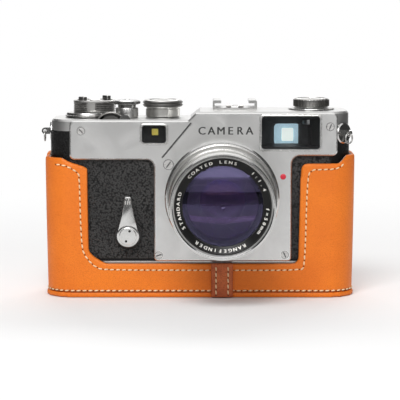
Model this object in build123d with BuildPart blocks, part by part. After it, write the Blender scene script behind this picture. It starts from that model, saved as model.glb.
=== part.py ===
from build123d import *
import os
from math import atan2, cos, degrees, hypot, radians, sin, sqrt

# A coupled rangefinder camera of the 1950s with its 50 mm lens, sitting in the lower half of a
# leather case. Millimetres; +Z up, +X to the right as seen from the front, the front faces -Y,
# and the origin is the mouth of the tripod socket under the case.

os.makedirs("parts", exist_ok=True)

# ---------------------------------------------------------------- driving dimensions
# camera body
body_width = 136.0
body_depth = 32.0
body_corner = 10.0
base_height = 6.7
casting_height = 59.3
low_top_height = 5.2
top_step_height = 3.6
seam_gap = 0.2
skin = 1.0                # sheet of the top cover
back_wall = 1.4
tray_floor = 1.2
covering_thickness = 0.4

# leather half case
leather_thickness = 2.2
case_board = 7.0
case_clearance = 0.4

# front plate and lens
plate_thickness = 2.4
lens_x = 10.0
lens_height = 36.1        # axis above the camera's base
mount_ring_radius = 26.0
mount_ring_depth = 3.0

# clearances
fit = 0.05                # radial, of a shaft in its bore
loose = 0.3               # between pieces that move past each other
slide_gap = 0.1

# ---------------------------------------------------------------- levels and faces
base_bottom = leather_thickness + case_board + case_clearance
base_top = base_bottom + base_height
casting_bottom = base_top + seam_gap
casting_top = casting_bottom + casting_height
low_top = casting_top + low_top_height
high_top = low_top + top_step_height
front = body_depth / 2    # distances in front of the middle plane are positive
rear = body_depth / 2
half_width = body_width / 2
plate_front = front + plate_thickness
lens_z = base_bottom + lens_height
far = 200.0               # longer than the camera, for trimming cuts

split_y = rear - 8.2      # seam between casting and removable back
casting_rear = rear - 7.0
core_inset = back_wall + 0.4
core_bottom = base_bottom + tray_floor + seam_gap
band_bottom = casting_top - 9.5
back_top = band_bottom - loose

# places on the top, from the front view and the plan
advance_x = -half_width + 16.2
advance_y = 2.0
wheel_x = lens_x - 50.5
wheel_z = low_top - 4.1
release_x = wheel_x + 6.9
release_y = -1.0
dial_x = release_x + 16.4
dial_y = 3.0
rewind_x = half_width - 16.6
rewind_y = 2.0
shoe_x = lens_x + 6.0
shoe_y = 2.0
step_x = lens_x - 9.9     # where the raised part of the top begins
step_slope = 4.5


# ---------------------------------------------------------------- helpers
def front_plane(forward):
    """The upright plane that lies forward of the middle, seen from the front."""
    return Plane.XZ.offset(forward)


def plan_rect(level, x_min, x_max, y_min, y_max, corner=0.0):
    """A rectangle in plan at one height."""
    with BuildSketch(Plane.XY.offset(level)) as outline:
        with Locations(((x_min + x_max) / 2, (y_min + y_max) / 2)):
            if corner:
                RectangleRounded(x_max - x_min, y_max - y_min, corner)
            else:
                Rectangle(x_max - x_min, y_max - y_min)
    return outline.sketch


def plan_circle(level, x, y, radius):
    """A circle in plan at one height."""
    with BuildSketch(Plane.XY.offset(level)) as outline:
        with Locations((x, y)):
            Circle(radius)
    return outline.sketch


def face_rect(forward, x_min, x_max, z_min, z_max, corner=0.0):
    """A rectangle on an upright plane, seen from the front."""
    with BuildSketch(front_plane(forward)) as outline:
        with Locations(((x_min + x_max) / 2, (z_min + z_max) / 2)):
            if corner:
                RectangleRounded(x_max - x_min, z_max - z_min, corner)
            else:
                Rectangle(x_max - x_min, z_max - z_min)
    return outline.sketch


def face_circle(forward, x, z, radius):
    """A circle on an upright plane, seen from the front."""
    with BuildSketch(front_plane(forward)) as outline:
        with Locations((x, z)):
            Circle(radius)
    return outline.sketch


def face_outline(forward, points, corners):
    """A closed outline with rounded corners on an upright plane."""
    with BuildSketch(front_plane(forward)) as outline:
        with BuildLine():
            FilletPolyline(*points, radius=corners, close=True)
        make_face()
    return outline.sketch


def body_plan(level, inset=0.0):
    """The camera's rounded plan at one height, shrunk all round by inset."""
    return plan_rect(level, -half_width + inset, half_width - inset,
                     -front + inset, rear - inset, body_corner - inset)


def rings(plane, spans):
    """Half section of a turned piece: rectangles of inner and outer radius, start and end."""
    with BuildSketch(plane) as section_sketch:
        for inner, outer, start, end in spans:
            with Locations(((inner + outer) / 2, (start + end) / 2)):
                Rectangle(outer - inner, end - start)
    return section_sketch.sketch


def half_section(plane, points):
    """Half section of a turned piece from its corner points, radius first."""
    with BuildSketch(plane) as section_sketch:
        with BuildLine():
            Polyline(*points, close=True)
        make_face()
    return section_sketch.sketch


def upright_plane(x, y):
    """Section plane of a piece turned about a vertical axis: radius, then height."""
    return Plane(origin=(x, y, 0), x_dir=(1, 0, 0), z_dir=(0, -1, 0))


def upright_axis(x, y):
    """Vertical axis through a point of the plan."""
    return Axis((x, y, 0), (0, 0, 1))


def forward_plane(x, z):
    """Section plane of a piece turned about a front-to-back axis: radius, then forward."""
    return Plane(origin=(x, 0, z), x_dir=(1, 0, 0), z_dir=(0, 0, -1))


def forward_axis(x, z):
    """Front-to-back axis through a point of the front view."""
    return Axis((x, 0, z), (0, -1, 0))


def rims(piece, radius):
    """The circular edges of a turned piece with at least this radius."""
    circles = piece.edges().filter_by(GeomType.CIRCLE)
    return circles.filter_by(lambda edge: edge.radius > radius - 0.1)


# ---------------------------------------------------------------- focusing gear train
gear_module = 0.5
tooth_addendum = 0.28
tooth_dedendum = 0.5
tooth_tip_half = 0.12
tooth_root_half = 0.28
gear_width = 1.2
mount_teeth = 96
idler_teeth = 36
wheel_teeth = 10
front_wall = 1.4
gear_front = front - front_wall - 0.4
gear_back = gear_front - gear_width
pocket_front = front - front_wall
pocket_back = gear_back - 0.4
lower_idler_angle = 154.0


def pitch_radius(teeth):
    """Radius of a gear's pitch circle."""
    return gear_module * teeth / 2


def meeting_point(a, radius_a, b, radius_b):
    """The lower of the two points at given distances from a and from b."""
    reach = hypot(b[0] - a[0], b[1] - a[1])
    along = (radius_a ** 2 - radius_b ** 2 + reach ** 2) / (2 * reach)
    aside = sqrt(radius_a ** 2 - along ** 2)
    unit = ((b[0] - a[0]) / reach, (b[1] - a[1]) / reach)
    return (a[0] + unit[0] * along - unit[1] * aside, a[1] + unit[1] * along + unit[0] * aside)


def bearing(a, b):
    """Direction from a to b in degrees, seen from the front."""
    return degrees(atan2(b[1] - a[1], b[0] - a[0]))


def meshed_phase(a, teeth_a, phase_a, b, teeth_b):
    """Angle of one tooth of gear b that lets it mesh with gear a."""
    turn_a = 360 / teeth_a
    past_tooth = ((bearing(a, b) - phase_a) % turn_a) / turn_a
    return bearing(b, a) + (past_tooth - 0.5) * 360 / teeth_b


mount_centre = (lens_x, lens_z)
wheel_centre = (wheel_x, wheel_z)
lower_reach = pitch_radius(mount_teeth) + pitch_radius(idler_teeth)
lower_centre = (lens_x + lower_reach * cos(radians(lower_idler_angle)),
                lens_z + lower_reach * sin(radians(lower_idler_angle)))
upper_centre = meeting_point(lower_centre, 2 * pitch_radius(idler_teeth),
                             wheel_centre, pitch_radius(idler_teeth) + pitch_radius(wheel_teeth))
mount_phase = 0.0
lower_phase = meshed_phase(mount_centre, mount_teeth, mount_phase, lower_centre, idler_teeth)
upper_phase = meshed_phase(lower_centre, idler_teeth, lower_phase, upper_centre, idler_teeth)
wheel_phase = meshed_phase(upper_centre, idler_teeth, upper_phase, wheel_centre, wheel_teeth)


def gear_outline(centre, teeth, phase):
    """Outline of a spur gear at the back of the gear plane."""
    root = pitch_radius(teeth) - tooth_dedendum
    tip = pitch_radius(teeth) + tooth_addendum
    points = []
    for index in range(teeth):
        middle = radians(phase + index * 360 / teeth)
        for radius, half in ((root, -tooth_root_half), (tip, -tooth_tip_half),
                             (tip, tooth_tip_half), (root, tooth_root_half)):
            angle = middle + half / radius
            points.append((centre[0] + radius * cos(angle), centre[1] + radius * sin(angle)))
    with BuildSketch(front_plane(gear_back)) as outline:
        with BuildLine():
            Polyline(*points, close=True)
        make_face()
    return outline.sketch


# ---------------------------------------------------------------- shafts, shared by both sides
gate_width = 52.0
gate_height = 38.0
gate_thickness = 1.5
frame_width = 36.0
frame_height = 24.0
gate_rear = casting_rear + gate_thickness
chamber_bottom = base_bottom + 12.4
chamber_top = band_bottom + 0.6
housing_floor = chamber_top + 1.6
spool_shaft = 2.0
take_up_bore = 10.8
sprocket_x = lens_x - 36.0
sprocket_y = 4.0
sprocket_shaft = 1.5
sprocket_radius = 5.5
cassette_bore = 13.0
cassette_y = 1.4
advance_shaft = 2.5
release_stem = 1.5
dial_shaft = 2.0
sleeve_radius = 4.0
rewind_shaft_radius = 2.0
wheel_shaft = 1.5
idler_axle = 1.25
timer_x = lens_x - 42.7
timer_z = base_bottom + 19.0
timer_shaft = 1.5
collar_outer = 19.3
collar_inner = 17.5
collar_back = pocket_back - 4.6
drum_radius = 2.5
drum_shaft = 1.0
drum_spread = 22.0
drum_y = casting_rear - 3.0
drum_half = 16.0
shutter_half_height = drum_half + 1.0
shutter_half_width = 25.5
shutter_depth = 6.5
light_box_back = casting_rear - shutter_depth
light_box_front = -6.0
light_box_width = 42.0
light_box_height = 32.0
bush_radius = 5.5
bush_boss = 7.5
socket_radius = 3.175
lock_shaft = 2.5
finder_left = lens_x + 17.9
finder_right = finder_left + 26.4
finder_bottom = casting_top - 8.0
finder_top = finder_bottom + 14.9
range_left = lens_x - 36.3
range_right = range_left + 10.9
range_bottom = casting_top - 5.2
range_top = range_bottom + 8.0
eyepiece_x = finder_left + 12.9
eyepiece_z = casting_top - 3.1
eyepiece_width = 12.2
eyepiece_height = 9.5
eyepiece_opening = (8.8, 6.8)
mount_bore = 20.4

# ---------------------------------------------------------------- body casting
top_bosses = (
    (advance_x, advance_y, 5.0, advance_shaft + fit),
    (release_x, release_y, 3.4, release_stem + fit),
    (dial_x, dial_y, 4.4, dial_shaft + fit),
    (rewind_x, rewind_y, 6.0, sleeve_radius + fit),
)
boss_top = casting_top + 2.0
wheel_post = (wheel_x - 3.0, wheel_x + 3.0, -front + 6.8, -front + 12.8)

with BuildPart() as body_casting:
    extrude(body_plan(casting_bottom), amount=band_bottom - casting_bottom)
    extrude(plan_rect(casting_bottom, -far, far, split_y, far),
            amount=band_bottom - casting_bottom, mode=Mode.SUBTRACT)
    extrude(body_plan(core_bottom, core_inset), amount=band_bottom - core_bottom)
    extrude(plan_rect(core_bottom, -far, far, casting_rear, far),
            amount=band_bottom - core_bottom, mode=Mode.SUBTRACT)
    extrude(body_plan(band_bottom), amount=casting_top - band_bottom)
    # film chambers, open to the rear
    chamber_height = chamber_top - chamber_bottom
    for centre_x, centre_y, bore in ((advance_x, advance_y, take_up_bore),
                                     (rewind_x, cassette_y, cassette_bore)):
        extrude(plan_circle(chamber_bottom, centre_x, centre_y, bore),
                amount=chamber_height, mode=Mode.SUBTRACT)
        extrude(plan_rect(chamber_bottom, centre_x - bore, centre_x + bore, centre_y, rear - back_wall),
                amount=chamber_height, mode=Mode.SUBTRACT)
    extrude(plan_rect(chamber_bottom, advance_x, sprocket_x + sprocket_radius + 1.0,
                      sprocket_y - sprocket_radius - 1.0, rear - back_wall),
            amount=chamber_height, mode=Mode.SUBTRACT)
    extrude(plan_rect(chamber_bottom, -half_width + core_inset, half_width - core_inset,
                      casting_rear, rear - back_wall), amount=chamber_height, mode=Mode.SUBTRACT)
    # housing under the top cover, with its bearings
    extrude(body_plan(housing_floor, core_inset), amount=casting_top - housing_floor,
            mode=Mode.SUBTRACT)
    extrude(plan_rect(housing_floor, -half_width + body_corner, half_width - body_corner,
                      -front, -front + 8.0), amount=casting_top - housing_floor)
    for centre_x, centre_y, boss, bore in top_bosses:
        extrude(plan_circle(housing_floor, centre_x, centre_y, boss),
                amount=boss_top - housing_floor)
    extrude(plan_rect(housing_floor, *wheel_post), amount=low_top - skin - slide_gap - housing_floor)
    for centre_x, centre_y, boss, bore in top_bosses:
        extrude(plan_circle(housing_floor, centre_x, centre_y, bore),
                amount=boss_top - housing_floor, mode=Mode.SUBTRACT)
    for left, right, bottom in ((range_left, range_right, range_bottom),
                                (finder_left, finder_right, housing_floor)):
        extrude(plan_rect(bottom, left, right, -front, -front + 8.0),
                amount=casting_top - bottom, mode=Mode.SUBTRACT)
    # lens bore, gear pocket, light box and shutter
    extrude(face_circle(collar_back, lens_x, lens_z, collar_outer + fit),
            amount=pocket_back - collar_back, mode=Mode.SUBTRACT)
    extrude(face_circle(-light_box_front - 1.0, lens_x, lens_z, collar_inner),
            amount=collar_back + light_box_front + 1.0, mode=Mode.SUBTRACT)
    for centre, teeth in ((mount_centre, mount_teeth), (lower_centre, idler_teeth),
                          (upper_centre, idler_teeth), (wheel_centre, wheel_teeth)):
        extrude(face_circle(pocket_back, *centre, pitch_radius(teeth) + 0.8),
                amount=pocket_front - pocket_back, mode=Mode.SUBTRACT)
    extrude(face_circle(pocket_front, lens_x, lens_z, mount_bore + 2.2),
            amount=front_wall, mode=Mode.SUBTRACT)
    extrude(face_rect(-light_box_back, lens_x - light_box_width / 2, lens_x + light_box_width / 2,
                      lens_z - light_box_height / 2, lens_z + light_box_height / 2),
            amount=light_box_back - light_box_front, mode=Mode.SUBTRACT)
    extrude(face_rect(-casting_rear, lens_x - shutter_half_width, lens_x + shutter_half_width,
                      lens_z - shutter_half_height, lens_z + shutter_half_height),
            amount=shutter_depth, mode=Mode.SUBTRACT)
    # wheel pocket and cross bores
    extrude(face_circle(front - 6.8, *wheel_centre, 7.6), amount=4.0, mode=Mode.SUBTRACT)
    extrude(face_circle(front - 13.5, *wheel_centre, wheel_shaft + fit), amount=8.0,
            mode=Mode.SUBTRACT)
    for centre in (lower_centre, upper_centre):
        extrude(face_circle(pocket_back - 2.2, *centre, idler_axle + fit),
                amount=front - pocket_back + 2.2, mode=Mode.SUBTRACT)
    extrude(face_circle(front - 6.0, timer_x, timer_z, timer_shaft + fit), amount=6.0,
            mode=Mode.SUBTRACT)
    extrude(plan_rect(core_bottom, timer_x - 11.0, timer_x + 10.0, -front + 4.2, -2.5),
            amount=lens_z - core_bottom, mode=Mode.SUBTRACT)
    # bores of the spool, the sprocket, the shutter drums and the rewind shaft
    for centre_x, centre_y, shaft in ((advance_x, advance_y, spool_shaft),
                                      (sprocket_x, sprocket_y, sprocket_shaft)):
        extrude(plan_circle(chamber_bottom - 1.8, centre_x, centre_y, shaft + fit),
                amount=housing_floor - chamber_bottom + 1.8, mode=Mode.SUBTRACT)
    extrude(plan_circle(chamber_top, rewind_x, rewind_y, rewind_shaft_radius + loose),
            amount=housing_floor - chamber_top, mode=Mode.SUBTRACT)
    for side in (-1, 1):
        extrude(plan_circle(lens_z - shutter_half_height - 1.6, lens_x + side * drum_spread, drum_y,
                            drum_shaft + fit),
                amount=2 * shutter_half_height + 3.2, mode=Mode.SUBTRACT)
    # hollow base with a boss for the tripod bush
    extrude(body_plan(core_bottom, core_inset + 1.8), amount=chamber_bottom - 3.2 - core_bottom,
            mode=Mode.SUBTRACT)
    extrude(plan_circle(core_bottom, 0, 0, bush_boss), amount=chamber_bottom - 3.0 - core_bottom)
    extrude(plan_circle(core_bottom, 0, 0, bush_radius), amount=chamber_bottom - 3.2 - core_bottom,
            mode=Mode.SUBTRACT)
    extrude(plan_rect(core_bottom, -far, far, casting_rear - 1.8, far),
            amount=chamber_bottom - 3.2 - core_bottom, mode=Mode.SUBTRACT)
    # way for the eyepiece
    extrude(face_rect(-rear, eyepiece_x - eyepiece_opening[0] / 2, eyepiece_x + eyepiece_opening[0] / 2,
                      eyepiece_z - eyepiece_opening[1] / 2, eyepiece_z + eyepiece_opening[1] / 2),
            amount=core_inset, mode=Mode.SUBTRACT)
body_casting.part.label = "body_casting"

# ---------------------------------------------------------------- top cover
apron_thickness = 0.9
apron_half = half_width - 12.0
apron_bottom = band_bottom + loose
cover_edge = 0.9
lock_x = wheel_x + 6.35
lock_radius = 2.55
lock_slot = (front - 3.2, front - 1.3)


def cover_outline(forward, low, raised, side):
    """Front outline of the stepped top, up to the low and the raised level."""
    corner = step_x - (high_top - raised) * 0.4
    points = ((-side, casting_top), (side, casting_top), (side, raised), (corner, raised),
              (corner - step_slope, low), (-side, low))
    return face_outline(forward, points, [0.0] * len(points))


with BuildPart() as cover_hollow:
    extrude(cover_outline(0, low_top - skin, high_top - skin, half_width), amount=front, both=True)
    extrude(body_plan(casting_top, skin), amount=high_top - casting_top, mode=Mode.INTERSECT)

with BuildPart() as top_cover:
    extrude(cover_outline(0, low_top, high_top, half_width), amount=front, both=True)
    extrude(body_plan(casting_top), amount=high_top - casting_top, mode=Mode.INTERSECT)
    top_faces = top_cover.faces().filter_by(Axis.Z).filter_by_position(Axis.Z, low_top - 0.1, high_top + 0.1)
    rim = top_faces.edges().filter_by(lambda edge: abs(edge.center().X - step_x) > step_slope + 2
                                      or abs(edge.center().Y) > 2)
    chamfer(rim, cover_edge)
    add(cover_hollow.part, mode=Mode.SUBTRACT)
    extrude(face_rect(-rear - apron_thickness, -apron_half, apron_half, apron_bottom, low_top - 2.0),
            amount=apron_thickness)
    extrude(face_rect(-rear - apron_thickness, eyepiece_x - eyepiece_opening[0] / 2,
                      eyepiece_x + eyepiece_opening[0] / 2, eyepiece_z - eyepiece_opening[1] / 2,
                      eyepiece_z + eyepiece_opening[1] / 2),
            amount=apron_thickness + 2 * skin, mode=Mode.SUBTRACT)
    for left, right, bottom, top in ((range_left, range_right, casting_top, range_top),
                                     (finder_left, finder_right, casting_top, finder_top)):
        extrude(face_rect(front - 2 * skin, left, right, bottom, top), amount=2 * skin,
                mode=Mode.SUBTRACT)
    for centre_x, centre_y, bore in ((advance_x, advance_y, advance_shaft + loose),
                                     (release_x, release_y, release_stem + loose),
                                     (dial_x, dial_y, dial_shaft + loose),
                                     (rewind_x, rewind_y, sleeve_radius + loose)):
        extrude(plan_circle(casting_top, centre_x, centre_y, bore), amount=far, mode=Mode.SUBTRACT)
    extrude(plan_rect(low_top - 3.0, wheel_x - 6.6, wheel_x + 6.6, -front + 3.1, -front + 6.7),
            amount=far, mode=Mode.SUBTRACT)
    extrude(plan_rect(low_top - 3.0, lock_x - lock_radius - 0.15, lock_x + lock_radius + 0.15,
                      -lock_slot[1] - 0.15, -lock_slot[0] + 0.15), amount=far, mode=Mode.SUBTRACT)
top_cover.part.label = "top_cover"

# ---------------------------------------------------------------- front plate
plate_left = -half_width + 8.9
plate_right = half_width - 5.7
plate_bottom = base_top + 0.3
plate_low_top = low_top - 0.4
plate_high_top = high_top - 0.4
board_left = lens_x - 30.8
board_right = lens_x + 31.6
arm_left_bottom = lens_z + 17.3
arm_right_bottom = lens_z + 19.1
plate_step = step_x - 5.6
plate_chamfer = 0.5
plate_points = (
    (plate_left, plate_low_top),
    (plate_step, plate_low_top),
    (plate_step + top_step_height, plate_high_top),
    (plate_right, plate_high_top),
    (plate_right, arm_right_bottom),
    (board_right, arm_right_bottom),
    (board_right, plate_bottom),
    (board_left, plate_bottom),
    (board_left, arm_left_bottom),
    (plate_left, arm_left_bottom),
)
plate_corners = [2.2, 0.6, 0.6, 2.2, 2.4, 3.8, 1.6, 1.6, 3.4, 2.2]
frame_border = 0.8
frame_relief = 0.6
groove_width = 0.5
groove_depth = 0.35
cap_x = lens_x - 24.3
cap_z = lens_z + 15.1
cap_radius = 2.2
screw_radius = 1.7
screw_places = (
    (plate_left + 5.2, plate_low_top - 4.6),
    (plate_right - 3.3, plate_high_top - 6.2),
    (board_left + 2.0, plate_bottom + 2.7),
    (board_right - 3.0, plate_bottom + 2.9),
)
window_gap = 0.1

with BuildPart() as front_plate:
    extrude(face_outline(front, plate_points, plate_corners), amount=plate_thickness)
    chamfer(front_plate.faces().sort_by(Axis.Y)[0].edges(), plate_chamfer)
    for left, right, bottom, top in ((range_left, range_right, range_bottom, range_top),
                                     (finder_left, finder_right, finder_bottom, finder_top)):
        extrude(face_rect(plate_front - 0.2, left - frame_border, right + frame_border,
                          bottom - frame_border, top + frame_border, 1.6),
                amount=frame_relief + 0.2, taper=20)
        extrude(face_rect(front, left, right, bottom, top, 1.2),
                amount=plate_thickness + frame_relief, mode=Mode.SUBTRACT)
    extrude(face_circle(front, lens_x, lens_z, mount_bore + 2.2), amount=plate_thickness,
            mode=Mode.SUBTRACT)
    groove_start = (lens_x - 27.2, arm_left_bottom + 1.0)
    groove_end = (lens_x - 14.0, plate_low_top - 1.1)
    with BuildSketch(front_plane(plate_front)):
        with Locations(((groove_start[0] + groove_end[0]) / 2, (groove_start[1] + groove_end[1]) / 2)):
            Rectangle(hypot(groove_end[0] - groove_start[0], groove_end[1] - groove_start[1]),
                      groove_width, rotation=bearing(groove_start, groove_end))
    extrude(amount=-groove_depth, mode=Mode.SUBTRACT)
    for place_x, place_z in screw_places:
        extrude(face_circle(front, place_x, place_z, screw_radius + fit), amount=plate_thickness,
                mode=Mode.SUBTRACT)
    extrude(face_circle(front, cap_x, cap_z, cap_radius + fit), amount=plate_thickness,
            mode=Mode.SUBTRACT)
front_plate.part.label = "front_plate"

with BuildPart() as front_plate_screws:
    for place_x, place_z in screw_places:
        extrude(face_circle(front, place_x, place_z, screw_radius), amount=plate_thickness)
        extrude(face_rect(plate_front - 0.5, place_x - screw_radius, place_x + screw_radius,
                          place_z - 0.25, place_z + 0.25), amount=0.5, mode=Mode.SUBTRACT)
    extrude(face_circle(front, cap_x, cap_z, cap_radius), amount=plate_thickness + 0.3)
    extrude(face_rect(plate_front - 0.3, cap_x - cap_radius, cap_x + cap_radius,
                      cap_z - 0.3, cap_z + 0.3), amount=0.6, mode=Mode.SUBTRACT)
front_plate_screws.part.label = "front_plate_screws"

# ---------------------------------------------------------------- covering
covering_bottom = casting_bottom + 1.1
covering_top = casting_top - 0.4


def covering(side):
    """Pebbled covering of one end and its part of the front, up to the lens board."""
    with BuildPart() as skin_part:
        extrude(body_plan(covering_bottom, -covering_thickness), amount=covering_top - covering_bottom)
        extrude(body_plan(covering_bottom), amount=covering_top - covering_bottom, mode=Mode.SUBTRACT)
        extrude(plan_rect(covering_bottom, -far, far, split_y, far),
                amount=covering_top - covering_bottom, mode=Mode.SUBTRACT)
        inner, outer = (board_right, far) if side > 0 else (-far, board_left)
        extrude(plan_rect(covering_bottom, inner, outer, -far, far),
                amount=covering_top - covering_bottom, mode=Mode.INTERSECT)
        extrude(face_outline(front - 1.0, plate_points, plate_corners), amount=far,
                mode=Mode.SUBTRACT)
    return skin_part.part


with BuildPart() as grip_covering_left:
    add(covering(-1))
    extrude(face_circle(front, timer_x, timer_z, timer_shaft + loose), amount=2.0, mode=Mode.SUBTRACT)
grip_covering_left.part.label = "grip_covering_left"

with BuildPart() as grip_covering_right:
    add(covering(1))
grip_covering_right.part.label = "grip_covering_right"

# ---------------------------------------------------------------- finder glass
pane_front = plate_front - 0.4
pane_thickness = 0.8
with BuildPart() as viewfinder_window:
    extrude(face_rect(pane_front - pane_thickness, finder_left + window_gap, finder_right - window_gap,
                      finder_bottom + window_gap, finder_top - window_gap, 1.1), amount=pane_thickness)
viewfinder_window.part.label = "viewfinder_window"

with BuildPart() as rangefinder_window:
    extrude(face_rect(pane_front - pane_thickness, range_left + window_gap, range_right - window_gap,
                      range_bottom + window_gap, range_top - window_gap, 1.1), amount=pane_thickness)
rangefinder_window.part.label = "rangefinder_window"

objective_height = 11.0
with BuildPart() as viewfinder_lens:
    extrude(face_rect(front - 6.5, eyepiece_x - 8.5, eyepiece_x + 8.5, housing_floor,
                      housing_floor + objective_height), amount=2.4)
    chamfer(viewfinder_lens.edges().filter_by(Axis.Y), 1.0)
viewfinder_lens.part.label = "viewfinder_lens"

with BuildPart() as rangefinder_prism:
    with BuildSketch(Plane.XY.offset(range_bottom)):
        with BuildLine():
            Polyline((range_left + 0.8, -front + 2.2), (range_right - 0.8, -front + 2.2),
                     (range_right - 0.8, -front + 11.2), close=True)
        make_face()
    extrude(amount=range_top - range_bottom - 0.6)
rangefinder_prism.part.label = "rangefinder_prism"

ring_depth = 1.8
with BuildPart() as eyepiece_ring:
    extrude(face_rect(-rear - apron_thickness - ring_depth, eyepiece_x - eyepiece_width / 2,
                      eyepiece_x + eyepiece_width / 2, eyepiece_z - eyepiece_height / 2,
                      eyepiece_z + eyepiece_height / 2, 2.0), amount=ring_depth)
    chamfer(eyepiece_ring.faces().sort_by(Axis.Y)[-1].edges(), 0.4)
    extrude(face_rect(-rear - apron_thickness - ring_depth, eyepiece_x - eyepiece_opening[0] / 2,
                      eyepiece_x + eyepiece_opening[0] / 2, eyepiece_z - eyepiece_opening[1] / 2,
                      eyepiece_z + eyepiece_opening[1] / 2, 1.0), amount=ring_depth, mode=Mode.SUBTRACT)
eyepiece_ring.part.label = "eyepiece_ring"

with BuildPart() as eyepiece_lens:
    extrude(face_rect(-rear - apron_thickness, eyepiece_x - eyepiece_opening[0] / 2 + window_gap,
                      eyepiece_x + eyepiece_opening[0] / 2 - window_gap,
                      eyepiece_z - eyepiece_opening[1] / 2 + window_gap,
                      eyepiece_z + eyepiece_opening[1] / 2 - window_gap), amount=1.6)
eyepiece_lens.part.label = "eyepiece_lens"

# ---------------------------------------------------------------- accessory shoe
shoe_width = 20.2
shoe_length = 18.0
shoe_wall = 0.8
shoe_base = 1.2
shoe_slot_height = 2.1
shoe_lip = 3.0
shoe_roof = 1.3
shoe_bottom = high_top
slot_bottom = shoe_bottom + shoe_base
slot_top = slot_bottom + shoe_slot_height
with BuildPart() as accessory_shoe:
    extrude(plan_rect(shoe_bottom, shoe_x - shoe_width / 2, shoe_x + shoe_width / 2,
                      shoe_y - shoe_length / 2, shoe_y + shoe_length / 2),
            amount=slot_top + shoe_roof - shoe_bottom)
    fillet(accessory_shoe.edges().filter_by(Axis.Y).group_by(Axis.Z)[-1], 0.9)
    extrude(plan_rect(slot_bottom, shoe_x - shoe_width / 2 + shoe_wall,
                      shoe_x + shoe_width / 2 - shoe_wall, -far, far),
            amount=shoe_slot_height, mode=Mode.SUBTRACT)
    extrude(plan_rect(slot_bottom, shoe_x - shoe_width / 2 + shoe_wall + shoe_lip,
                      shoe_x + shoe_width / 2 - shoe_wall - shoe_lip, -far, far),
            amount=far, mode=Mode.SUBTRACT)
accessory_shoe.part.label = "accessory_shoe"

spring_sheet = 0.3
with BuildPart() as shoe_spring:
    extrude(plan_rect(slot_bottom, shoe_x - 4.0, shoe_x + 4.0, shoe_y - shoe_length / 2 + 0.8,
                      shoe_y + shoe_length / 2 - 0.8), amount=spring_sheet)
    for side in (-1, 1):
        extrude(plan_rect(slot_bottom, shoe_x + side * 2.8 - 1.1, shoe_x + side * 2.8 + 1.1,
                          shoe_y - shoe_length / 2 + 0.8, shoe_y - shoe_length / 2 + 2.4), amount=1.1)
shoe_spring.part.label = "shoe_spring"

# ---------------------------------------------------------------- film path
with BuildPart() as light_box:
    with BuildSketch(Plane.XZ.offset(-light_box_front)):
        with Locations((lens_x, lens_z)):
            Rectangle(30.0, 25.0)
    with BuildSketch(Plane.XZ.offset(-light_box_back)):
        with Locations((lens_x, lens_z)):
            Rectangle(frame_width + 3.0, frame_height + 5.0)
    loft()
    with BuildSketch(Plane.XZ.offset(-light_box_front)):
        with Locations((lens_x, lens_z)):
            Rectangle(28.0, 23.0)
    with BuildSketch(Plane.XZ.offset(-light_box_back)):
        with Locations((lens_x, lens_z)):
            Rectangle(frame_width + 1.0, frame_height + 3.0)
    loft(mode=Mode.SUBTRACT)
    extrude(face_rect(-light_box_back, lens_x - light_box_width / 2 + slide_gap,
                      lens_x + light_box_width / 2 - slide_gap, lens_z - light_box_height / 2 + slide_gap,
                      lens_z + light_box_height / 2 - slide_gap), amount=1.0)
    extrude(face_rect(-light_box_back, lens_x - frame_width / 2 - 0.5, lens_x + frame_width / 2 + 0.5,
                      lens_z - frame_height / 2 - 1.5, lens_z + frame_height / 2 + 1.5),
            amount=1.0, mode=Mode.SUBTRACT)
light_box.part.label = "light_box"

with BuildPart() as film_gate:
    extrude(face_rect(-gate_rear, lens_x - gate_width / 2, lens_x + gate_width / 2,
                      lens_z - gate_height / 2, lens_z + gate_height / 2), amount=gate_thickness)
    extrude(face_rect(-gate_rear, lens_x - frame_width / 2, lens_x + frame_width / 2,
                      lens_z - frame_height / 2, lens_z + frame_height / 2),
            amount=gate_thickness, mode=Mode.SUBTRACT)
film_gate.part.label = "film_gate"

curtain_y = casting_rear - 0.5
curtain_half = drum_spread - drum_radius - 0.5
with BuildPart() as shutter_curtain:
    extrude(face_rect(-curtain_y, lens_x - curtain_half, lens_x + curtain_half,
                      lens_z - 14.5, lens_z + 14.5), amount=0.3)
shutter_curtain.part.label = "shutter_curtain"


def shutter_drum(centre_x):
    """A roller that winds the shutter curtain, with its end pins."""
    with BuildPart() as drum:
        revolve(rings(upright_plane(centre_x, drum_y),
                      ((0, drum_radius, lens_z - drum_half, lens_z + drum_half),
                       (0, drum_shaft, lens_z - drum_half - 2.4, lens_z + drum_half + 2.4))),
                upright_axis(centre_x, drum_y))
    return drum.part


with BuildPart() as shutter_drum_left:
    add(shutter_drum(lens_x - drum_spread))
shutter_drum_left.part.label = "shutter_drum_left"

with BuildPart() as shutter_drum_right:
    add(shutter_drum(lens_x + drum_spread))
shutter_drum_right.part.label = "shutter_drum_right"

spool_bottom = chamber_bottom + 0.5
spool_top = chamber_top - 0.5
with BuildPart() as take_up_spool:
    revolve(rings(upright_plane(advance_x, advance_y),
                  ((0, 6.0, spool_bottom, spool_top),
                   (0, 9.8, spool_bottom, spool_bottom + 1.2),
                   (0, 9.8, spool_top - 1.2, spool_top),
                   (0, spool_shaft, chamber_bottom - 1.6, chamber_top + 1.4))),
            upright_axis(advance_x, advance_y))
    extrude(plan_rect(spool_bottom + 4.0, advance_x - 0.4, advance_x + 0.4, 0, far),
            amount=spool_top - spool_bottom - 8.0, mode=Mode.SUBTRACT)
take_up_spool.part.label = "take_up_spool"

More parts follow.
